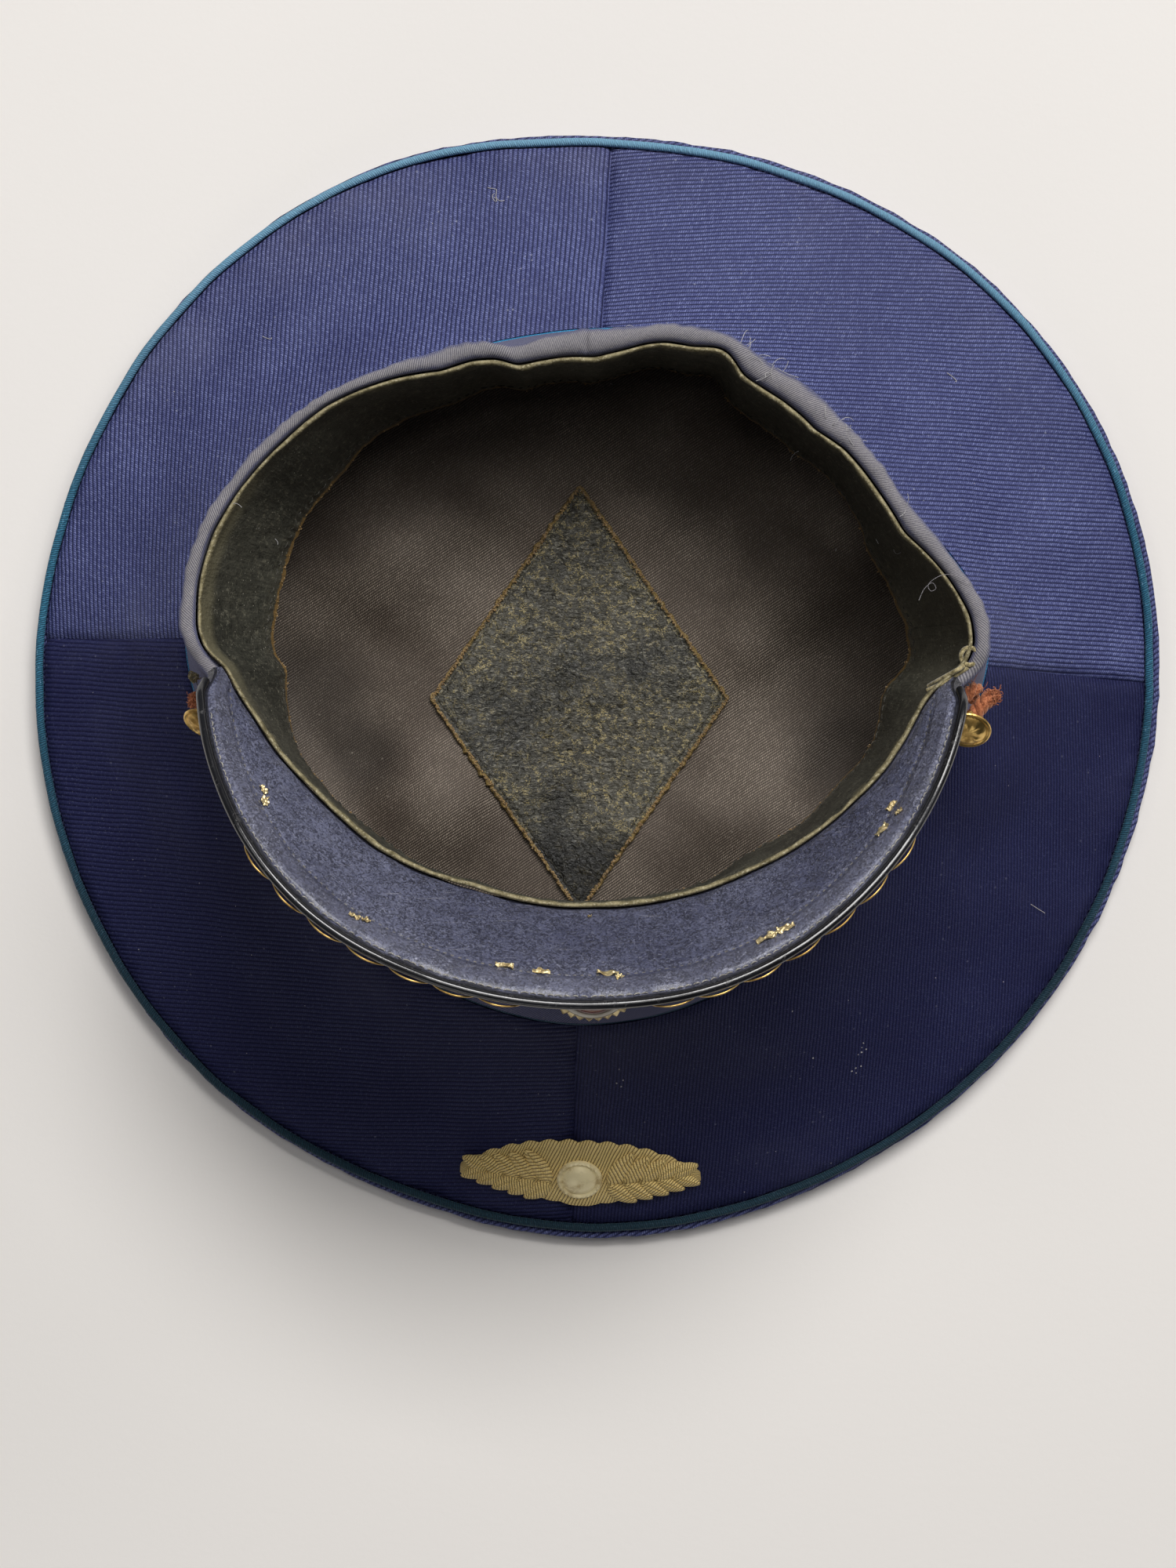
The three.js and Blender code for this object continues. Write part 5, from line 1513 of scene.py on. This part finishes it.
cord_line, cord_length = curve_through(cord_route(), CORD_STEPS)
cord_way = np.gradient(cord_line, axis=0)
cord_way /= np.linalg.norm(cord_way, axis=1, keepdims=True)
cord_side = np.cross(cord_way, (0.0, 0.0, 1.0))
cord_side /= np.linalg.norm(cord_side, axis=1, keepdims=True)
cord_up = np.cross(cord_side, cord_way)
strands = strands_round(cord_line, cord_length, cord_side, cord_up, 0.88, 7.5)
made(tubes("chin_cord_strands", strands, 0.93, sides=8), FINISH["cord"], "orange_cord", "chin_cord")


# ---- stitches, loose threads and lint ---------------------------------------------------------

def wisp(start, way, length, curl, seed, steps=14):
    """A loose fibre that wanders off from a point."""
    chance = random.Random(seed)
    way = Vector(way).normalized()
    point, route = Vector(start), [Vector(start)]
    turn_axis = Vector([chance.uniform(-1, 1) for _ in range(3)]).normalized()
    for _ in range(steps):
        way = (way + turn_axis.cross(way) * curl / steps
               + Vector([chance.uniform(-1, 1) for _ in range(3)]) * 0.35 * curl / steps).normalized()
        point = point + way * length / steps
        route.append(point.copy())
    return route


def stitch_pattern(length, thick):
    """One sunk-ended thread stitch along X, from a cylinder primitive."""
    piece = started("stitch_pattern", bpy.ops.mesh.primitive_cylinder_add, vertices=6, radius=thick * MM,
                    depth=length * MM)
    editing(piece, lambda: bpy.ops.mesh.subdivide(number_cuts=3))
    points = points_of(piece)
    share = points[:, 2] / (length * MM / 2)
    points = np.stack([points[:, 2], points[:, 1] * (1 - 0.35 * share ** 2),
                       points[:, 0] * (1 - 0.35 * share ** 2)
                       + (0.9 * thick - 1.7 * thick * share ** 2) * MM], axis=-1)
    move_points(piece, points)
    face_outwards(piece)
    return piece


def sew(name, line, ups, every, length, thick, finish, slot, seed):
    """Stitches along a line of points in millimetres, each tilted, spaced and stretched a little by chance.
    One draw between the tilt and the stretch is left unused, so that the later ones stay the same."""
    chance = random.Random(seed)
    run = np.concatenate(([0.0], np.cumsum(np.linalg.norm(np.diff(line, axis=0), axis=1))))
    places = []
    for at in np.arange(every / 2, run[-1], every):
        at = at + chance.uniform(-0.12, 0.12) * every
        here, ahead = (np.array([np.interp(at + step, run, line[:, part]) for part in range(3)])
                       for step in (0, 0.3))
        up = np.array([np.interp(at, run, ups[:, part]) for part in range(3)])
        way = Vector(ahead - here).normalized() + Vector([chance.uniform(-0.12, 0.12) for _ in range(3)])
        chance.random()
        places.append(frame_at(here, way, up, (chance.uniform(0.85, 1.1), 1, 1)))
    made(copies(name, stitch_pattern(length, thick), places), FINISH[finish], slot)


stitch_angles = np.linspace(VISOR_ENDS[0] + 7.0, VISOR_ENDS[1] - 6.0, 400)
groove = from_visor_edge(stitch_angles, 1.5, 0.2)
groove_up = from_visor_edge(stitch_angles, 1.5, -1.0) - groove
sew("visor_stitches", groove, groove_up, 2.1, 1.7, 0.17, "thread_grey", "visor_leatherette", 91)

under = surface_under(patch_cloth)
corners = [np.array(corner) for corner in (
    (PATCH["x"], PATCH["y"] + PATCH["along"]), (PATCH["x"] + PATCH["across"], PATCH["y"]),
    (PATCH["x"], PATCH["y"] - PATCH["along"]), (PATCH["x"] - PATCH["across"], PATCH["y"]))]
middle = np.array((PATCH["x"], PATCH["y"]))
# From the patch's middle to the middle of a side.
PATCH_HALF = 34.0


def patch_sides(inwards):
    """The ends of the patch's four sides, moved inwards."""
    ends = [middle + (corner - middle) * (1 - inwards / PATCH_HALF) for corner in corners]
    return zip(ends, ends[1:] + ends[:1])


line, ups = [], []
for first, second in patch_sides(1.9):
    for share in np.linspace(0, 1, 120, endpoint=False):
        point, normal = under(*(first + (second - first) * share))
        line.append(np.array(point))
        ups.append(np.array(normal))
sew("patch_stitches", np.array(line), np.array(ups), 2.3, 1.7, 0.16, "thread_dark", "patch_oilcloth", 92)

# Ragged ochre threads along the patch's edges and the sweatband's free edge.
chance = random.Random(93)
knots = []
for first, second in patch_sides(0.35):
    for _ in range(210):
        point, _ = under(*(first + (second - first) * chance.random()))
        way = (chance.uniform(-1, 1), chance.uniform(-1, 1), chance.uniform(-0.1, 0.5))
        knots.append(wisp(np.array(point) + (0, 0, 0.1), way, chance.uniform(0.5, 1.3), 4.5, chance.random(),
                          5))
made(tubes("patch_edge_threads", knots, 0.2), FINISH["thread_ochre"], "patch_oilcloth")

knots = []
for _ in range(520):
    angle = chance.uniform(0, 360)
    radii, heights = sweatband_section(np.array([angle]))
    point = on_ring(RIM_CENTRE, angle, radii[-2, 0] + 0.3, heights[-2, 0] + chance.uniform(-0.2, 0.7))
    way = (chance.uniform(-1, 1), chance.uniform(-1, 1), chance.uniform(-0.6, 0.6))
    knots.append(wisp(point, way, chance.uniform(0.5, 1.2), 4.5, chance.random(), 5))
made(tubes("sweatband_edge_threads", knots, 0.17), FINISH["thread_ochre"], "sweatband_oilcloth")

sweat_angles = np.linspace(0, 360, 900)
radii, heights = sweatband_section(sweat_angles)
# The stitches run a few rows above the sweatband's free edge.
row = len(radii) - 6
line = on_ring(RIM_CENTRE, sweat_angles, radii[row] - 0.05, heights[row])
inwards = on_ring((0, 0), sweat_angles + 180.0, 1.0, 0.35)
sew("sweatband_stitches", line, inwards, 2.6, 1.8, 0.15, "thread_dark", "sweatband_oilcloth", 94)


def crumpled(name, spots, finish, slot, seed):
    """Crumpled bits of thin sheet: rows of place, surface normal, length, width and turn."""
    pieces = []
    for number, (point, normal, length, width, turn) in enumerate(spots):
        piece = started("crumpled_bit", bpy.ops.mesh.primitive_grid_add, x_subdivisions=14, y_subdivisions=6,
                        size=2)
        flat = points_of(piece)
        x, y = flat[:, 0], flat[:, 1]
        shift = seed + number * 7
        rise = 0.55 * ripple(x * 3, y * 3, 3.0, shift) + 0.3 * ripple(x * 3, y * 3, 1.3, shift + 1)
        waist = 1 + 0.28 * ripple(x * 2, 0.0, 2.2, shift + 2)
        moved = np.stack([x * length / 2, y * width / 2 * waist + 0.15 * ripple(x * 3, y, 2.0, shift + 3),
                          0.55 + rise * 0.75], axis=-1)
        move_points(piece, moved * MM)
        finish_with(piece, "SOLIDIFY", thickness=0.22 * MM, offset=-1)
        finish_with(piece, "SUBSURF", levels=1, render_levels=1)
        way = Vector((*heading(turn), 0))
        way = way - normal * way.dot(normal)
        place_piece(piece, frame_at(point, way, normal))
        pieces.append(piece)
    piece = joined(name, pieces)
    smooth(piece, 50)
    made(piece, FINISH[finish], slot)


# Bent tips of the leaves' prongs on the visor's underside: place, length, width and turn.
PRONGS = (
    (-83.2, -28.6, 2.6, 1.6, 100), (-82.6, -31.4, 3.2, 2.0, 60), (-59.3, -59.2, 3.0, 1.7, 150),
    (-56.6, -60.3, 2.2, 1.5, 20), (-23.0, -71.3, 4.6, 1.4, -8), (-13.9, -72.8, 4.4, 1.3, -5),
    (2.2, -73.2, 5.4, 1.9, -12), (5.0, -73.9, 2.0, 1.2, 50), (40.6, -64.6, 4.8, 2.0, 20),
    (45.6, -62.2, 4.6, 2.1, 24), (43.0, -63.5, 3.0, 1.5, 60), (72.9, -32.6, 3.4, 1.7, 70),
    (74.4, -34.0, 2.0, 1.3, 10), (70.1, -38.5, 4.0, 2.1, 62), (-2.2, -60.4, 0.9, 0.5, 30),
)
on_board = surface_under(visor_board)
spots = []
for x, y, length, width, turn in PRONGS:
    point, normal = on_board(x, y)
    spots.append((np.array(point), normal, length, width, turn))
crumpled("visor_prongs", spots, "gilt_pale", "gilt_metal", 300)

# Loose fibres on the band's roll and beside it: place, how many, spread and length.
on_cloth = surface_under(*(bpy.data.objects[f"quarter_cloth_{name}"] for name, _, _ in QUARTERS), band_cloth,
                         sweatband_sheet, lining_cloth, crown_cloth)
tufts = []
for x, y, count, spread, length in (
    (38, 86, 14, 3.4, 6.0), (45, 80, 10, 3.0, 6.0), (-31, 90, 6, 2.0, 3.0), (60, 62, 12, 8.0, 4.5),
    (75, 40, 8, 7.0, 4.0), (-88, 40, 6, 8.0, 3.0), (10, 90, 8, 10.0, 3.5),
):
    for _ in range(count):
        point, _ = on_cloth(x + chance.gauss(0, spread * 0.5), y + chance.gauss(0, spread * 0.5))
        way = Vector((chance.uniform(-1, 1), chance.uniform(-0.6, 1), chance.uniform(0.0, 0.7)))
        tufts.append(wisp(np.array(point), way, length * chance.uniform(0.4, 1.2), 1.6, chance.random()))
made(tubes("loose_fibres", tufts, 0.07), FINISH["thread_pale"], "band_twill")

fuzz = []
for _ in range(900):
    row = chance.randrange(20, CORD_STEPS - 20)
    if FUZZY < row < CORD_STEPS - FUZZY and chance.random() < 0.6:
        continue
    start = cord_line[row] + 1.5 * (cord_side[row] * chance.uniform(-1, 1)
                                    + cord_up[row] * chance.uniform(-1, 1))
    fuzz.append(wisp(start, start - cord_line[row] + cord_way[row] * chance.uniform(-2, 2),
                     chance.uniform(1.0, 3.2), 2.2, chance.random(), 6))
made(tubes("chin_cord_fuzz", fuzz, 0.06), FINISH["cord"], "orange_cord")


def frayed_ball(x, y, z, reach, count, length):
    """Curled threads bursting from a small ball."""
    threads = []
    for _ in range(count):
        way = Vector([chance.gauss(0, 1) for _ in range(3)]).normalized()
        threads.append(wisp(Vector((x, y, z)) + way * reach * chance.uniform(0.3, 1.0), way,
                            length * chance.uniform(0.6, 1.3), 4.5, chance.random(), 6))
    return threads


made(tubes("chin_cord_frayed_ends", frayed_ball(-104.4, -5.2, 64.5, 1.9, 380, 1.5)
           + frayed_ball(102.0, -4.4, 65.2, 2.0, 420, 1.7), 0.1, sides=4), FINISH["cord"], "orange_cord")
# The cord's thicker end beside the right button.
end_line, end_length = curve_through(
    [(93.8, -15.5, 63.0), (96.5, -10.5, 64.5), (99.4, -6.5, 65.2), (101.6, -4.6, 65.0)], 90)
end_side = np.cross(np.gradient(end_line, axis=0), (0.0, 0.0, 1.0))
end_side /= np.linalg.norm(end_side, axis=1, keepdims=True)
strands = strands_round(end_line, end_length, end_side, (0, 0, 1), 1.05, 6.0)
made(tubes("chin_cord_end", strands, 1.15, sides=10), FINISH["cord"], "orange_cord")
made(tubes("corner_tuft", frayed_ball(-104.6, 0.6, 66.0, 1.0, 40, 1.9), 0.17), FINISH["fold_beige"],
     "sweatband_oilcloth")
corner_thread, _ = curve_through(
    [(-104.4, 0.2, 66.0), (-103.6, -1.6, 65.6), (-103.9, -3.0, 65.4), (-104.2, -4.4, 64.9)], 24)
made(tubes("corner_thread", [corner_thread], 0.14), FINISH["fibre_grey"], "band_twill")

# Folded-over oilcloth at the visor's right corner: a crumpled loop and two wrinkles.
on_corner = surface_under(sweatband_sheet, band_cloth, visor_board)


def laid_fold(points, lift):
    """A few points in plan laid on whatever is under them."""
    return curve_through([(x, y, on_corner(x, y)[0][2] + lift) for x, y in points], 40)[0]


LOOP_AT, LOOP_REACH = (94.2, 5.4), 2.2
loop_level = float(rim_height(354.7)) - 2.0
loop = [(LOOP_AT[0] + LOOP_REACH * heading(turn)[0], LOOP_AT[1] + LOOP_REACH * heading(turn)[1],
         loop_level + 0.5 * heading(3 * turn)[1]) for turn in range(20, 341, 40)]
folds = [curve_through(loop, 60)[0], laid_fold(((93.8, 2.6), (91.0, 0.6), (87.6, -1.4), (83.6, -3.2)), 0.4),
         laid_fold(((92.6, 2.9), (90.4, 1.6), (87.0, -0.4), (84.4, -2.0)), 0.7)]
made(tubes("corner_folds", folds, 0.6, sides=8), FINISH["fold_beige"], "sweatband_oilcloth")

# Threads of lint on the quarters, three of them at the back left: place, length, curl and seed.
lint = []
for x, y, length, curl, seed in (
    (-30.3, 137.8, 9.0, 7.0, 1), (-28.5, 135.0, 6.0, 5.0, 2), (96, 86, 7.0, 2.0, 4), (119, -60, 6.0, 1.2, 6),
    (-92, 96, 5.0, 2.0, 7),
):
    point, _ = on_cloth(x, y)
    route = wisp(np.array(point) + (0, 0, 0.3), (1, -0.6, 0.02), length, curl, seed, 24)
    lint.append([(x, y, on_cloth(x, y)[0][2] + 0.25) for x, y, _ in route])
made(tubes("lint_threads", lint, 0.09), FINISH["thread_pale"], "uniform_twill")

# Specks of lint: place, how many and their spread, and last the small ones all round the quarters.
chance = random.Random(95)
speck = started("speck_pattern", bpy.ops.mesh.primitive_ico_sphere_add, subdivisions=1, radius=0.22 * MM)
places = []
for x, y, count, spread in (
    (72, -99, 5, 1.0), (71, -106, 4, 1.4), (6, -105, 4, 2.4), (60, -95, 3, 6.0), (0, 0, 60, None),
):
    for _ in range(count):
        if spread is None:
            turn, reach = chance.uniform(0, 360), chance.uniform(108, 148)
            at = (reach * heading(turn)[0], reach * heading(turn)[1])
        else:
            at = (x + chance.gauss(0, spread), y + chance.gauss(0, spread))
        point, normal = on_cloth(*at)
        size = [chance.uniform(0.5, 1.5) * (0.55 if spread is None else 1.0) for _ in range(3)]
        places.append(frame_at(np.array(point), (chance.uniform(-1, 1), chance.uniform(-1, 1), 0.1), normal,
                               size))
made(copies("lint_specks", speck, places), FINISH["thread_pale"], "uniform_twill")

# A hair that lies in a loop on the roll, at the right.
HAIR = (
    (94.3, 23.5), (91.0, 25.6), (87.9, 26.1), (85.2, 25.0), (83.6, 23.4), (84.3, 21.9), (85.6, 22.6),
    (84.6, 24.0), (82.6, 22.4), (81.3, 19.6),
)
hair, _ = curve_through([(x, y, 82.5 - 0.04 * number) for number, (x, y) in enumerate(HAIR)], 60)
made(tubes("hair_on_roll", [hair], 0.07), FINISH["fibre_grey"], "band_twill")

# ---- floor, lights and camera -----------------------------------------------------------------

floor = started("studio_floor", bpy.ops.mesh.primitive_plane_add, size=4.0)
paper, n, shader, place, _ = material("studio_floor_paper", Roughness=0.85, Specular_IOR_Level=0.2)
n.feed(shader.inputs["Base Color"], n.blend(n.noise(place, 3.0, 3), (0.80, 0.775, 0.75), (0.86, 0.835, 0.81)))
relief(n, shader, (0.15, 0.3, n.noise(place, 500.0, 3)))
floor.data.materials.append(paper)

# Softboxes: bearing from +X and height above the floor in degrees, width, depth and watts.
LIGHT_DISTANCE, LIGHT_TINT = 3.0, (1.0, 0.985, 0.965)
LIGHTS = (
    ("key_softbox", 77.0, 55.0, 1.3, 1.0, 64.0),
    ("right_softbox_high", 42.0, 56.0, 1.1, 0.8, 20.0),
    ("right_softbox_low", 40.0, 30.0, 0.9, 0.6, 7.0),
    ("left_softbox_high", 150.0, 52.0, 1.1, 0.8, 6.0),
    ("front_softbox_low", 250.0, 24.0, 1.6, 0.5, 6.5),
    ("top_softbox", 90.0, 81.0, 1.1, 0.9, 8.0),
)
for name, bearing, rise, width, depth, watts in LIGHTS:
    lamp = bpy.data.lights.new(name, "AREA")
    lamp.shape, lamp.size, lamp.size_y, lamp.energy, lamp.color = "RECTANGLE", width, depth, watts, LIGHT_TINT
    holder = bpy.data.objects.new(name, lamp)
    bpy.context.scene.collection.objects.link(holder)
    flat = LIGHT_DISTANCE * heading(rise)[0]
    holder.location = (flat * heading(bearing)[0], flat * heading(bearing)[1],
                       LIGHT_DISTANCE * heading(rise)[1])
    holder.rotation_euler = (-holder.location).to_track_quat("-Z", "Y").to_euler()

AIR_COLOUR, AIR_STRENGTH = (0.9, 0.93, 1.0, 1), 0.025
world = bpy.data.worlds.new("studio_air")
bpy.context.scene.world = world
world.use_nodes = True
air = world.node_tree.nodes["Background"]
air.inputs["Color"].default_value, air.inputs["Strength"].default_value = AIR_COLOUR, AIR_STRENGTH

CAMERA_AT, LENS, SENSOR = (-0.0026, -0.027, 0.886), 72.8, 36.0
lens = bpy.data.cameras.new("camera_above")
lens.lens, lens.sensor_width = LENS, SENSOR
camera = bpy.data.objects.new("camera_above", lens)
bpy.context.scene.collection.objects.link(camera)
camera.location = CAMERA_AT
bpy.context.scene.camera = camera
bpy.context.scene.view_settings.view_transform = "Standard"
